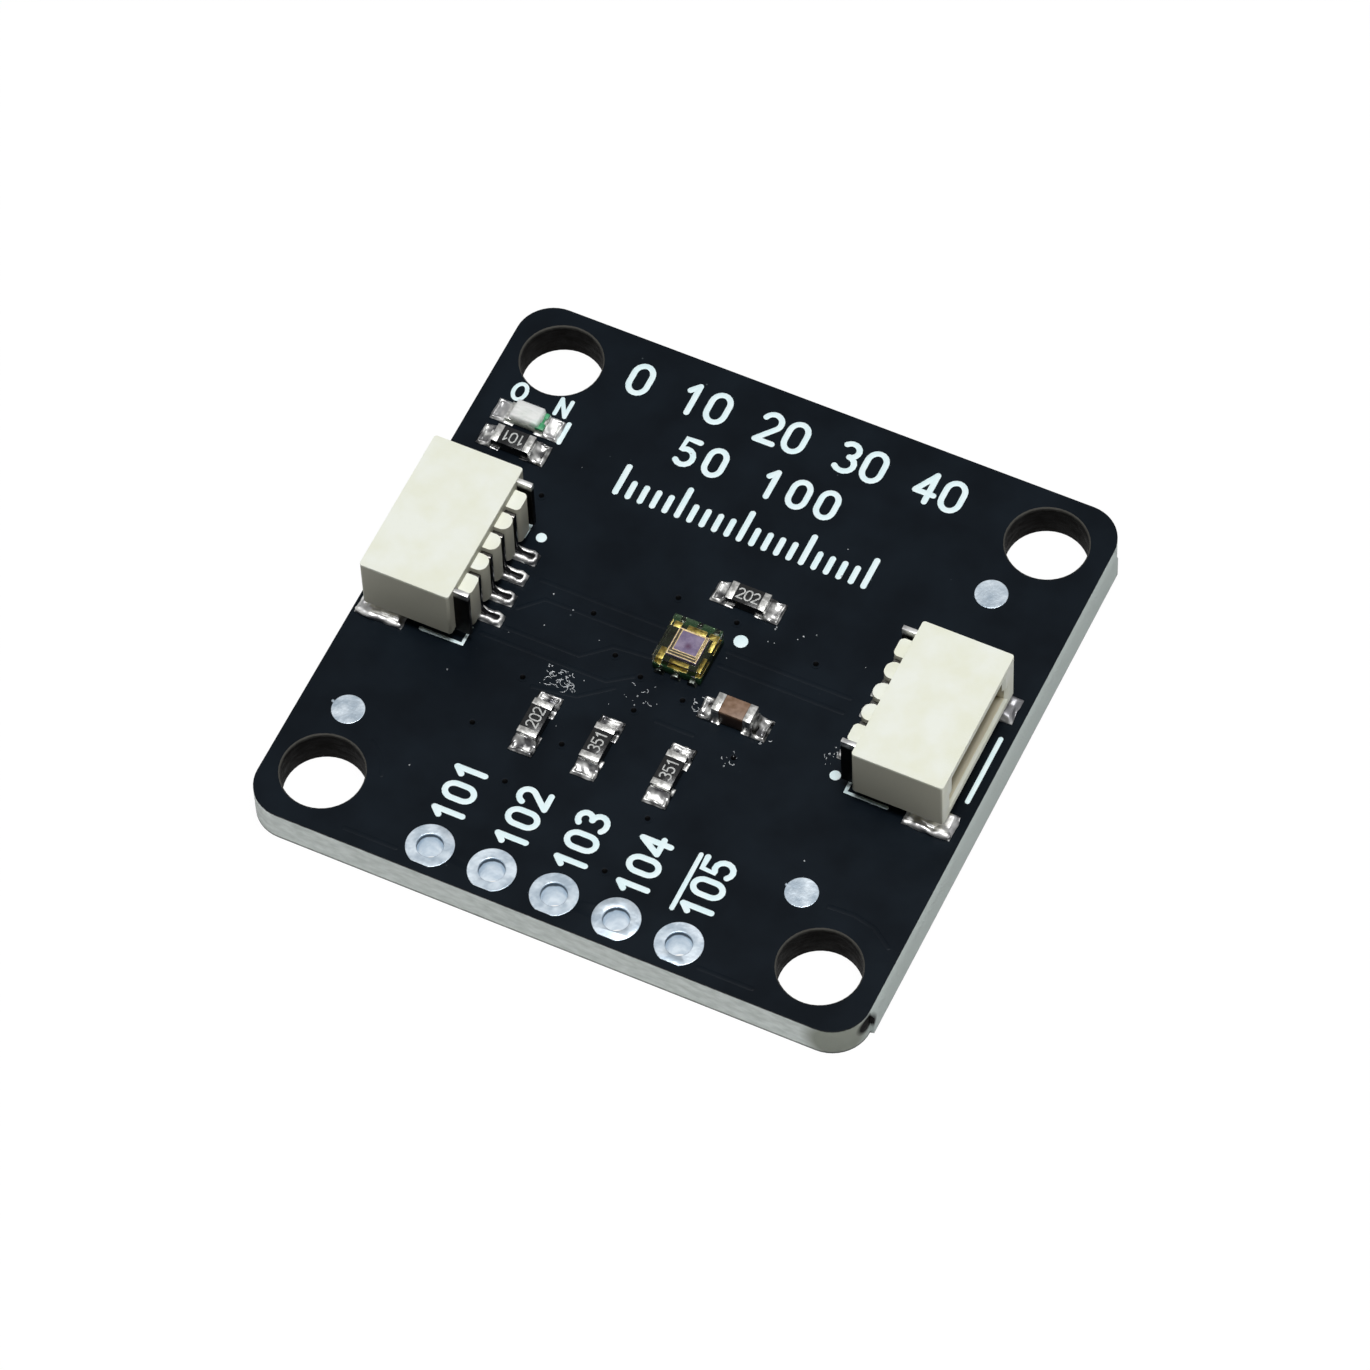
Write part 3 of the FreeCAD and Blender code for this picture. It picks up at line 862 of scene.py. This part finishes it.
@dataclass
class Studio:
    """Camera, lamp, sky and white floor.

    Attributes:
        eye: The camera's place.
        target: Point on the board's top face at the middle of the picture.
        roll: Turn of the picture about the line of sight, in degrees.
        lens: Focal length on a 36 mm wide sensor.
        sky: Strength of the light from all round on matt faces.
        mirrored: Strength of the sky near the horizon and high up, as metal mirrors it.
        key_place: Place of the soft lamp: to the right, to the back and up.
        key_size: Width of the lamp.
        key_light: Share of white that the lamp alone gives to a level white face.
        paper: Colour of the floor.
        glow: Brightness of the floor as the camera and metal see it.
        glow_share: How far that stands in for the lit floor.
    """

    eye: Place = (77.068, -146.371, 258.227)
    target: Place = (0.463, -1.191, BOARD_TOP)
    roll: float = -2.863
    lens: float = 214.78
    sky: float = 0.03
    mirrored: tuple[float, float] = (0.2, 0.46)
    key_place: Place = (60.0, -40.0, 560.0)
    key_size: float = 230.0
    key_light: float = 0.95
    paper: str = "#E0E0E0"
    glow: float = 1.03
    glow_share: float = 0.93

    def camera(self) -> None:
        """Set the camera where the photo was taken from."""
        data = bpy.data.cameras.new("camera")
        data.lens = self.lens
        data.sensor_width = 36.0
        data.clip_start = 0.01
        data.clip_end = 10.0
        forward = (Vector(self.target) - Vector(self.eye)).normalized()
        level = forward.cross(Vector((0.0, 0.0, 1.0))).normalized()
        upright = level.cross(forward)
        turn = math.radians(self.roll)
        right = level * math.cos(turn) + upright * math.sin(turn)
        above = upright * math.cos(turn) - level * math.sin(turn)
        turned = Matrix((right, above, -forward)).transposed().to_4x4()
        obj = add_object("camera", data)
        obj.matrix_world = Matrix.Translation(Vector(self.eye) * MM) @ turned
        bpy.context.scene.camera = obj

    def lamp(self) -> None:
        """Hang the soft lamp over the object."""
        data = bpy.data.lights.new("soft_lamp", "AREA")
        data.shape = "SQUARE"
        data.size = self.key_size * MM
        place = Vector(self.key_place) * MM
        lean = place.z / place.length
        data.energy = self.key_light * math.pi ** 2 * place.length_squared / lean
        obj = add_object("soft_lamp", data)
        obj.location = place
        obj.rotation_euler = place.to_track_quat("Z", "Y").to_euler()

    def mirrored_rays(self, tree: NodeTree) -> NodeSocket:
        """Tell rays that metal mirrors or glass lets through from all others."""
        light = add_node(tree, "LightPath")
        return add_node(tree, "Math", {"operation": "MAXIMUM"},
                        {0: light["Is Glossy Ray"], 1: light["Is Transmission Ray"]})[0]

    def sky_light(self) -> None:
        """Light from all round: faint for matt faces, a soft dome for metal, white for the camera."""
        world = bpy.data.worlds.new("studio")
        world.use_nodes = True
        bpy.context.scene.world = world
        tree = world.node_tree
        place = add_node(tree, "TexCoord")["Generated"]
        height = add_node(tree, "SeparateXYZ", links={0: place})["Z"]
        low, high = self.mirrored
        dome = add_node(tree, "MapRange", {"From Min": 0.1, "From Max": 0.6, "To Min": low, "To Max": high,
                                           "interpolation_type": "SMOOTHSTEP"}, {"Value": height})[0]
        seen = add_node(tree, "Mix", {"data_type": "FLOAT", 2: self.sky},
                        {0: self.mirrored_rays(tree), 3: dome})[0]
        camera = add_node(tree, "LightPath")["Is Camera Ray"]
        shown = add_node(tree, "Mix", {"data_type": "FLOAT", 3: 1.0}, {0: camera, 2: seen})[0]
        background = tree.nodes["Background"]
        tree.links.new(shown, background.inputs["Strength"])
        background.inputs["Color"].default_value = linear("#FFFFFF")

    def floor(self) -> None:
        """Lay the white floor: it keeps a soft part of the shadow, and is not seen from below."""
        bpy.ops.mesh.primitive_plane_add(size=4.0)
        obj = bpy.context.object
        obj.name = "floor"
        material = bpy.data.materials.new("white_paper_floor")
        material.use_nodes = True
        tree = material.node_tree
        shader = tree.nodes["Principled BSDF"]
        shader.inputs["Base Color"].default_value = linear(self.paper)
        shader.inputs["Roughness"].default_value = 0.9
        shader.inputs["Specular IOR Level"].default_value = 0.0
        glow = add_node(tree, "Emission", {"Color": linear("#FFFFFF"), "Strength": self.glow})[0]
        camera = add_node(tree, "LightPath")["Is Camera Ray"]
        seen = add_node(tree, "Math", {"operation": "MAXIMUM"}, {0: camera, 1: self.mirrored_rays(tree)})[0]
        share = add_node(tree, "Math", {"operation": "MULTIPLY", 1: self.glow_share}, {0: seen})[0]
        paper = add_node(tree, "MixShader", links={0: share, 1: shader.outputs[0], 2: glow})[0]
        back = add_node(tree, "NewGeometry")["Backfacing"]
        clear = add_node(tree, "BsdfTransparent")[0]
        whole = add_node(tree, "MixShader", links={0: back, 1: paper, 2: clear})[0]
        tree.links.new(whole, tree.nodes["Material Output"].inputs["Surface"])
        obj.data.materials.append(material)

    def build(self) -> None:
        """Set up the whole studio and plain view settings."""
        self.camera()
        self.lamp()
        self.sky_light()
        self.floor()
        bpy.context.scene.view_settings.view_transform = "Standard"
        LOG.info("studio: camera, lamp, sky and floor")


@dataclass
class Board:
    """The laminate with its lacquer, covered tracks and vias, and print.

    Attributes:
        edge_round: Rounding of the routed edges.
        underside_lift: How far the lacquer below lies behind the pads there.
        wall_reach: Distance from a mounting hole's middle to past its wall.
        track: Pen of the covered tracks.
        vias: Places of the lacquer-covered vias.
        via_radius: Radius of a via's raised rim.
        via_rim: Width of the rim and its rise above the block it is cut from.
        via_sag: Width and depth of the step down to the via's middle.
        print_rise: How far the ink stands out.
        header_numbers: Places of the header holes' numbers.
        bars: Centre lines of the single printed bars.
        dot_marks: Places and radii of the round marks.
    """

    edge_round: float = 0.035
    underside_lift: float = 0.02
    wall_reach: float = 1.85
    track: Pen = Pen(0.2, 0.007)
    vias: tuple[Point, ...] = (
        (-1.42, 2.2), (1.05, 2.1), (-4.02, 0.26), (-2.47, -1.09), (4.52, 1.66), (-5.2, -3.39),
        (-0.79, -3.0), (3.48, -3.35), (-2.58, -5.45), (-6.03, -5.96), (-3.79, -7.78),
        (1.72, -7.05), (1.26, -9.75), (-8.13, 4.24), (0.68, -1.86), (-1.2, -1.57),
    )
    via_radius: float = 0.2
    via_rim: Point = (0.09, 0.004)
    via_sag: Point = (0.03, 0.012)
    print_rise: float = 0.022
    header_numbers: tuple[Point, ...] = (
        (-4.55, -10.2), (-1.92, -10.25), (0.5, -10.25), (3.04, -10.25), (5.6, -10.15))
    bars: tuple[tuple[Point, Point], ...] = (
        ((12.15, -1.5), (12.15, 1.5)), ((-8.6, 6.7), (-8.6, 7.62)), ((4.18, -10.15), (4.18, -7.63)))
    dot_marks: tuple[Place, ...] = ((1.54, 1.41, 0.28), (-7.3, 2.52, 0.21), (7.23, -2.48, 0.215))

    def laminate(self) -> None:
        """Copy the board with rounded edges, and give lacquer, edge and hole walls their own finish."""
        obj = copy_node("board", "board_laminate")
        with edit_mode(obj, lambda face: face.normal.z < -0.9 and face.center.z < 0.01):
            bpy.ops.transform.translate(value=(0.0, 0.0, self.underside_lift))
        soften(obj, self.edge_round, 2, 50.0)
        for face in obj.data.polygons:
            away = math.hypot(*(abs(abs(place) - MOUNTING_PITCH / 2) for place in face.center.xy))
            face.material_index = 0 if abs(face.normal.z) > 0.8 else 2 if away < self.wall_reach else 1
        finish_piece(obj, "board_laminate", SOLDER_MASK, LAMINATE_EDGE, DRILLED_WALL_IN_SHADE, replaced="board")

    def tracks(self) -> None:
        """Raise the covered tracks under the lacquer, most of them between the connectors."""
        corner = -MOUNTING_PITCH / 2
        paths = [
            [(-6.45, 0.82), (-1.25, 0.82)],
            [(1.25, 0.82), (6.3, 0.82)],
            [(-6.75, -0.7), (-5.95, 0.1), (-1.25, 0.13)],
            [(1.25, 0.13), (6.3, 0.13)],
            [(-6.8, -1.65), (-3.7, -1.65), (-2.7, -0.75), (-1.25, -0.6)],
            [(-7.5, -2.25), (-2.3, -2.25), (-1.4, -1.6)],
            [(-4.7, -3.6), (-3.0, -3.3), (-1.9, -2.4)],
            [(0.15, -3.07), (1.65, -3.07)],
            [(-8.3, -12.03), (-6.2, -12.03)],
            [(6.15, -12.03), (8.3, -12.03)],
            [(9.4, -7.7), (10.4, -7.65), (11.3, -7.85), (12.1, -8.4)],
            arc(corner, corner, 2.2, 2.2, 20, 60),
        ]
        obj = self.track.draw("board_covered_tracks", paths)
        finish_piece(obj, "board_laminate", SOLDER_MASK, angle=60.0)

    def covered_vias(self) -> None:
        """Model one sagging via and copy it to each place."""
        bpy.ops.mesh.primitive_cylinder_add(vertices=20, radius=self.via_radius, depth=0.03)
        model = bpy.context.object
        with edit_mode(model, lambda face: face.normal.z > 0.9):
            bpy.ops.mesh.inset(thickness=self.via_rim[0], depth=self.via_rim[1])
            bpy.ops.mesh.inset(thickness=self.via_sag[0], depth=-self.via_sag[1])
        obj = joined([placed_copy(model, x, y) for x, y in self.vias], "board_covered_vias")
        bpy.data.objects.remove(model)
        for face in obj.data.polygons:
            away = min(math.hypot(face.center.x - x, face.center.y - y) for x, y in self.vias)
            face.material_index = int(face.normal.z > 0.3 and away < self.via_radius - self.via_rim[0])
        finish_piece(obj, "board_laminate", SOLDER_MASK, COVERED_VIA, angle=70.0)

    def printing(self) -> None:
        """Print the marks, plain numbers and a tick scale in white ink."""
        pen = Pen(0.24, self.print_rise)
        numbers = pen.write("0 10 20 30 40", -7.4, 9.96, 1.3, 1.09)
        numbers += pen.write("50 100", -4.3, 7.72, 1.18, 1.17)
        for number in range(21):
            x = -5.67 + number * 0.517
            numbers.append([(x, 5.55), (x, 6.81 if number % 5 == 0 else 6.2)])
        for number, (x, y) in enumerate(self.header_numbers, 101):
            numbers += pen.write(str(number), x, y, 1.14, 0.96, 90.0)
        outlines = [
            [(-9.63, -3.0), (-7.92, -3.0), (-7.92, -2.2), (-8.25, -2.2)],
            [(-7.93, 2.3), (-7.93, 3.1)],
            [(9.55, -2.97), (7.87, -2.97), (7.87, -2.5)],
        ]
        outlines += pen.write("ON", -11.2, 7.84, 0.74, 1.85)
        for ending, width, paths in (("numbers", 0.24, numbers), ("outlines", 0.17, outlines),
                                     ("bars", 0.19, self.bars)):
            obj = Pen(width, self.print_rise).draw("board_printed_" + ending, paths)
            finish_piece(obj, "board_laminate", WHITE_INK)

    def dots(self) -> None:
        """Print the three round marks at the first contacts."""
        parts = []
        for x, y, radius in self.dot_marks:
            place = (x, y, BOARD_TOP)
            bpy.ops.mesh.primitive_cylinder_add(vertices=32, radius=radius, depth=0.04, location=place)
            parts.append(bpy.context.object)
            apply_place(parts[-1])
            soften(parts[-1], 0.012)
        finish_piece(joined(parts, "board_printed_dots"), "board_laminate", WHITE_INK)

    def build(self) -> None:
        """Build the board's pieces."""
        self.laminate()
        self.tracks()
        self.covered_vias()
        self.printing()
        self.dots()


@dataclass
class TinnedAreas:
    """The plated header holes and the three round discs.

    Attributes:
        edge_round: Rounding of their edges.
        ring: Outer radius, width and thickness of the ring pads on the underside.
        row: Places of the header holes along X.
        row_y: Their place along Y.
        nibs: Centre lines of the tinned nibs beside two discs.
    """

    edge_round: float = 0.03
    ring: Place = (0.93, 0.36, 0.02)
    row: tuple[float, ...] = (-5.08, -2.54, 0.0, 2.54, 5.08)
    row_y: float = -11.43
    nibs: tuple[tuple[Point, Point], ...] = (((-11.08, -7.28), (-11.2, -7.24)), ((7.63, -7.5), (7.58, -7.49)))

    def build(self) -> None:
        """Lay the ring pads below, round and dress each pad and disc, and add the nibs."""
        radius, width, thickness = self.ring
        rings = []
        for x in self.row:
            bpy.ops.mesh.primitive_circle_add(vertices=40, radius=radius, fill_type="NGON",
                                              location=(x, self.row_y, 0.0))
            rings.append(raise_flat(bpy.context.object, thickness, width))
        finish_piece(joined(rings, "header_ring_pads_below"), "tinned_copper", TINNED_COPPER)
        nodes = [f"header_pad_{number}" for number in range(1, 6)]
        nodes += [f"tinned_disc_{side}" for side in ("left", "right", "upper")]
        for node in nodes:
            dress_node(node, "tinned", "tinned_copper", TINNED_COPPER, self.edge_round, 3)
        finish_piece(Pen(0.13, 0.03).draw("tinned_nibs", self.nibs), "tinned_copper", TINNED_COPPER)


@dataclass
class SolderJoint:
    """Solder that has run and frozen, from the CAD solid of the joint.

    Attributes:
        node: The CAD node.
        voxel: Step of the new skin.
        lump: Size of the lumps.
        height: How far the lumps stand out.
        finish: Finish of the solder.
        rims: Centre lines of the raised rims of the joint.
        rim: Pen of the rims.
    """

    node: str
    voxel: float = 0.026
    lump: float = 0.3
    height: float = 0.07
    finish: Finish = REFLOWED_SOLDER
    rims: tuple[Path, ...] | list[Path] = ()
    rim: Pen = Pen(0.13, 0.07, BOARD_TOP + 0.08)

    def build(self) -> None:
        """Melt the solid and its rims together: a new even skin, smoothed, with soft lumps."""
        name = self.node + "_run"
        obj = copy_node(self.node, name)
        if self.rims:
            obj = joined([obj, self.rim.draw("rims", self.rims, True)], name)
        apply_modifier(obj, "REMESH", mode="VOXEL", voxel_size=self.voxel)
        apply_modifier(obj, "SMOOTH", factor=0.5, iterations=8)
        roughen(obj, self.lump, self.height)
        apply_modifier(obj, "SMOOTH", factor=0.5, iterations=8)
        finish_piece(obj, "solder", self.finish, replaced=self.node, angle=180.0)


@dataclass
class Connector:
    """One side-entry connector: housing, contacts, anchor tabs and solder.

    Attributes:
        prefix: Start of its nodes' names.
        mould_round: Rounding of the moulded edges.
        stamped_round: Rounding of the stamped edges.
        inside: Least and greatest distance of the mouth's inner faces along X and Y, and height.
        comb: Distance from the board's middle below which a wall belongs to the comb.
        contacts: Places of the contacts along Y.
        foot: Rim of a foot's solder along one side: distance from the board's middle, and from the contact's.
        ridge: Ridge of the solder in front of the end wall, as distances from the board's middle, and Y.
    """

    prefix: str
    mould_round: float = 0.05
    stamped_round: float = 0.02
    inside: tuple[Place, Place] = ((8.3, -0.1, 1.95), (11.86, 2.56, 4.37))
    comb: float = 8.3
    contacts: tuple[float, ...] = (-1.5, -0.5, 0.5, 1.5)
    foot: tuple[Point, ...] = (
        (8.15, 0.25), (7.75, 0.16), (7.45, 0.15), (7.24, 0.2), (7.09, 0.16), (7.04, 0.0))
    ridge: tuple[Point, ...] = ((12.12, -3.26), (11.6, -3.3), (11.0, -3.25), (10.45, -3.28))

    def housing(self) -> None:
        """Round the moulding, and tell its mouth, its walls and the rest apart."""
        node = self.prefix + "_housing"
        obj = copy_node(node, node + "_moulding")
        soften(obj, self.mould_round, 3)
        low, high = self.inside
        for face in obj.data.polygons:
            place = (abs(face.center.x), abs(face.center.y), face.center.z)
            inside = all(low[i] < place[i] < high[i] for i in range(3))
            walls = abs(face.normal.z) < 0.8 and (place[0] < self.comb or abs(face.normal.y) > 0.8)
            face.material_index = 1 if inside else 2 if walls else 0
        finish_piece(obj, "housing_plastic", MOULDED_NYLON, SHADED_NYLON, WALL_NYLON_IN_SHADE, replaced=node)

    def build(self) -> None:
        """Dress the housing and the metal, and melt the solder."""
        self.housing()
        for kind, count, slot, finish in (("contact", 4, "contact_metal", TINNED_STRIP_IN_SHADE),
                                          ("anchor_tab", 2, "anchor_metal", ANCHOR_STRIP)):
            for number in range(1, count + 1):
                dress_node(f"{self.prefix}_{kind}_{number}", "stamping", slot, finish, self.stamped_round)
        side = 1 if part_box(self.prefix + "_housing")[0].x > 0 else -1
        loop = [(side * x, -off) for x, off in self.foot] + [(side * x, off) for x, off in self.foot[-2::-1]]
        feet = [[(x, y + off) for x, off in loop] for y in self.contacts]
        SolderJoint(self.prefix + "_pin_solder", 0.022, 0.3, 0.04, FROSTED_SOLDER, feet,
                    Pen(0.23, 0.13, BOARD_TOP + 0.13)).build()
        SolderJoint(self.prefix + "_anchor_solder", 0.03, 0.45, 0.14, FROSTED_SOLDER,
                    [[(side * x, y) for x, y in self.ridge]], Pen(0.28, 0.14, BOARD_TOP + 0.13)).build()


@dataclass
class ChipPart:
    """A chip part: body, plated ends, solder and, on a resistor, a plain number.

    Attributes:
        prefix: Start of its nodes' names.
        code: Number on its top, or none.
        turn: Direction of the number, in degrees.
        body: End of the body node's name.
        finish: Finish of the body.
        slot: Material slot of the body.
        solder: Finish of the solder.
        edge_round: Rounding of the body's edges.
        digit: Height of the number and distance from one digit to the next.
    """

    prefix: str
    code: str = ""
    turn: float = 0.0
    body: str = "_body"
    finish: Finish = BLACK_GLAZE
    slot: str = "resistor_ceramic"
    solder: Finish = REFLOWED_SOLDER
    edge_round: float = 0.035
    digit: Point = (0.44, 0.31)

    def mark(self) -> None:
        """Print the number along the middle of the top face."""
        low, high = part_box(self.prefix + self.body)
        centre = (low + high) / 2 / MM
        height, pitch = self.digit
        length = pitch * 2 + height * 0.6
        cos, sin = math.cos(math.radians(self.turn)), math.sin(math.radians(self.turn))
        x = centre.x - cos * length / 2 + sin * height / 2
        y = centre.y - sin * length / 2 - cos * height / 2
        pen = Pen(0.06, 0.006, high.z / MM)
        obj = pen.draw(self.prefix + "_number", pen.write(self.code, x, y, height, pitch, self.turn))
        finish_piece(obj, self.slot, LASER_MARK)

    def rims(self) -> list[Path]:
        """Work out the raised rims along the outer edges of both pads."""
        low, high = (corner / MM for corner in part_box(self.prefix + "_solder"))
        along = 0 if high.x - low.x > high.y - low.y else 1
        near, far = low[1 - along] + 0.09, high[1 - along] - 0.09
        paths = []
        for outer, inward in ((low[along], 1), (high[along], -1)):
            middle = (near + far) / 2
            steps = ((0.5, near + 0.06), (0.09, near), (0.13, middle), (0.09, far), (0.5, far - 0.06))
            corners = [(outer + inward * step, across) for step, across in steps]
            paths.append([corner if along == 0 else corner[::-1] for corner in corners])
        return paths

    def build(self) -> None:
        """Round and dress the body and its ends, and melt the solder."""
        dress_node(self.prefix + self.body, "shaped", self.slot, self.finish, self.edge_round)
        dress_node(self.prefix + "_end_caps", "plated", "end_cap_metal", END_CAP_TIN, self.edge_round / 2)
        SolderJoint(self.prefix + "_solder", finish=self.solder, rims=self.rims()).build()
        if self.code:
            self.mark()


def block(centre: Place, size: Place) -> Object:
    """Model a block."""
    bpy.ops.mesh.primitive_cube_add(size=1.0, location=centre)
    bpy.context.object.scale = size
    apply_place(bpy.context.object)
    return bpy.context.object


@dataclass
class Indicator:
    """The small lamp: a milky lens on a pale base with green cathode marks.

    Attributes:
        lens_round: Rounding of the lens.
        marks: Side on which each green mark lies, and its size.
    """

    lens_round: float = 0.05
    marks: tuple[tuple[int, Place], ...] = (
        (-1, (0.34, 0.3, 0.16)), (1, (0.24, 0.22, 0.12)), (0, (0.1, 0.5, 0.06)))

    def build(self) -> None:
        """Build the lamp as a chip part, then its lens and marks."""
        ChipPart("indicator", body="_base", finish=PALE_LAMINATE, slot="indicator_base_laminate",
                 solder=FROSTED_SOLDER).build()
        dress_node("indicator_lens", "cast", "indicator_milky_resin", MILKY_EPOXY, self.lens_round, 3)
        low, high = (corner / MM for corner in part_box("indicator_lens"))
        parts = []
        for side, size in self.marks:
            parts.append(block((high.x + 0.02, (low.y + high.y) / 2 + side * 0.27, low.z + 0.04), size))
            soften(parts[-1], 0.025)
        finish_piece(joined(parts, "indicator_cathode_marks"), "indicator_base_laminate", GREEN_MARK)


@dataclass
class Sensor:
    """The see-through light sensor.

    Attributes:
        border_rise: Thickness of the bare border of the die.
        track_rise: Thickness of its tracks.
        margins: Width of the border to the left, right, front and back of the die's window.
    """

    border_rise: float = 0.004
    track_rise: float = 0.009
    margins: tuple[float, float, float, float] = (0.175, 0.15, 0.275, 0.075)

    def flats(self, name: str, finish: Finish, rise: float, outlines: list[tuple[float, ...]]) -> None:
        """Lay flat rectangles and frames on the die.

        Args:
            name: Name of the piece.
            finish: Its finish.
            rise: Its thickness.
            outlines: Least X and Y, greatest X and Y, and the width of a frame's line or 0.
        """
        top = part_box("sensor_die")[1].z / MM
        parts = []
        for left, near, right, far, wall in outlines:
            bpy.ops.mesh.primitive_plane_add(size=1.0, location=((left + right) / 2, (near + far) / 2, top))
            bpy.context.object.scale = (right - left, far - near, 1.0)
            parts.append(raise_flat(bpy.context.object, rise, wall))
        finish_piece(joined(parts, name), "sensor_silicon", finish)

    def build(self) -> None:
        """Dress the carrier, leads and die, draw the die's lines and cast the clear body."""
        for ending, finish, slot, width in (
            ("base", GREEN_LAMINATE, "base_laminate", 0.01), ("leads", GOLD_PLATE, "gold", 0.01),
            ("die", COATED_SILICON, "silicon", 0.01), ("clear_body", CLEAR_EPOXY, "clear_resin", 0.025),
        ):
            dress_node("sensor_" + ending, "shaped", "sensor_" + slot, finish, width)
        low, high = (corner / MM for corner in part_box("sensor_die"))
        left, right = low.x + self.margins[0], high.x - self.margins[1]
        near, far = low.y + self.margins[2], high.y - self.margins[3]
        west, south, east, north = low.x + 0.01, low.y + 0.01, high.x - 0.01, high.y - 0.01
        self.flats("sensor_die_border", DIE_BORDER, self.border_rise, [
            (west, south, left, north, 0.0), (right, south, east, north, 0.0),
            (left, south, right, near, 0.0), (left, far, right, north, 0.0),
        ])
        self.flats("sensor_die_tracks", DIE_TRACKS, self.track_rise, [
            (low.x + 0.015, low.y + 0.015, high.x - 0.015, high.y - 0.015, 0.035),
            (left - 0.025, near - 0.025, right + 0.025, far + 0.025, 0.03),
            (low.x + 0.08, near - 0.13, high.x - 0.07, near - 0.1, 0.0),
            (high.x - 0.1, near - 0.1, high.x - 0.07, far, 0.0),
        ])
        SolderJoint("sensor_solder", 0.02, 0.15, 0.04, NOTCH_SOLDER_IN_SHADE).build()


@dataclass
class Residue:
    """Dried flux and dust that the photo shows on the board: curled threads in patches, and crumbs.

    Attributes:
        curls: Centre, reach along X and Y, and number of threads of each patch.
        crumbs: The same for crumbs.
        seed: Start of the random places.
    """

    curls: Patches = (
        (-3.85, -2.85, 0.6, 0.4, 34), (-0.75, -2.2, 0.7, 0.5, 5), (1.35, -1.75, 0.15, 0.3, 5),
        (4.2, -2.3, 0.3, 0.3, 4), (3.3, -3.4, 0.25, 0.2, 3), (6.75, -1.7, 0.1, 0.5, 5),
    )
    crumbs: Patches = (
        (-3.85, -2.9, 0.8, 0.5, 12), (-0.6, -2.1, 0.9, 0.7, 8), (6.75, -1.7, 0.12, 0.5, 6),
        (3.4, -3.7, 0.5, 0.4, 5), (3.0, 2.2, 0.6, 0.5, 5), (0.0, 0.0, 8.0, 9.0, 24),
    )
    seed: int = 7

    def places(self, draw: random.Random, patches: Patches) -> Path:
        """Scatter places over patches.

        Args:
            draw: Source of random numbers.
            patches: The patches.

        Returns:
            The places.
        """
        return [(x + draw.uniform(-reach_x, reach_x), y + draw.uniform(-reach_y, reach_y))
                for x, y, reach_x, reach_y, count in patches for _ in range(count)]

    def build(self) -> None:
        """Draw the threads, then model one crumb and scatter copies of it."""
        draw = random.Random(self.seed)
        threads = []
        for x, y in self.places(draw, self.curls):
            radius, start, sweep = draw.uniform(0.05, 0.24), draw.uniform(0, 360), draw.uniform(40, 150)
            threads.append(arc(x, y, radius, radius * draw.uniform(0.5, 1.0), start, start + sweep, 6))
        finish_piece(Pen(0.03, 0.013).draw("board_flux_threads", threads), "board_laminate", FLUX_RESIDUE)
        bpy.ops.mesh.primitive_ico_sphere_add(subdivisions=2, radius=0.045)
        model = bpy.context.object
        roughen(model, 0.05, 0.04)
        crumbs = [placed_copy(model, x, y, draw.uniform(0, 360), draw.uniform(0.3, 0.9))
                  for x, y in self.places(draw, self.crumbs)]
        bpy.data.objects.remove(model)
        finish_piece(joined(crumbs, "board_flux_crumbs"), "board_laminate", FLUX_RESIDUE, angle=180.0)


def main() -> None:
    """Build the studio and the sub-assemblies in order."""
    logging.basicConfig(level=logging.INFO, format="%(name)s: %(message)s")
    Studio().build()
    Board().build()
    TinnedAreas().build()
    for prefix in ("left_connector", "right_connector"):
        Connector(prefix).build()
    for prefix, code, turn in (
        ("indicator_resistor", "101", 180.0), ("upper_resistor", "202", 0.0),
        ("lower_resistor_left", "202", 90.0), ("lower_resistor_middle", "351", 90.0),
        ("lower_resistor_right", "351", 90.0),
    ):
        ChipPart(prefix, code, turn).build()
    ChipPart("capacitor", finish=BROWN_CERAMIC, slot="capacitor_ceramic").build()
    Indicator().build()
    Sensor().build()
    Residue().build()


if __name__ == "__main__":
    main()
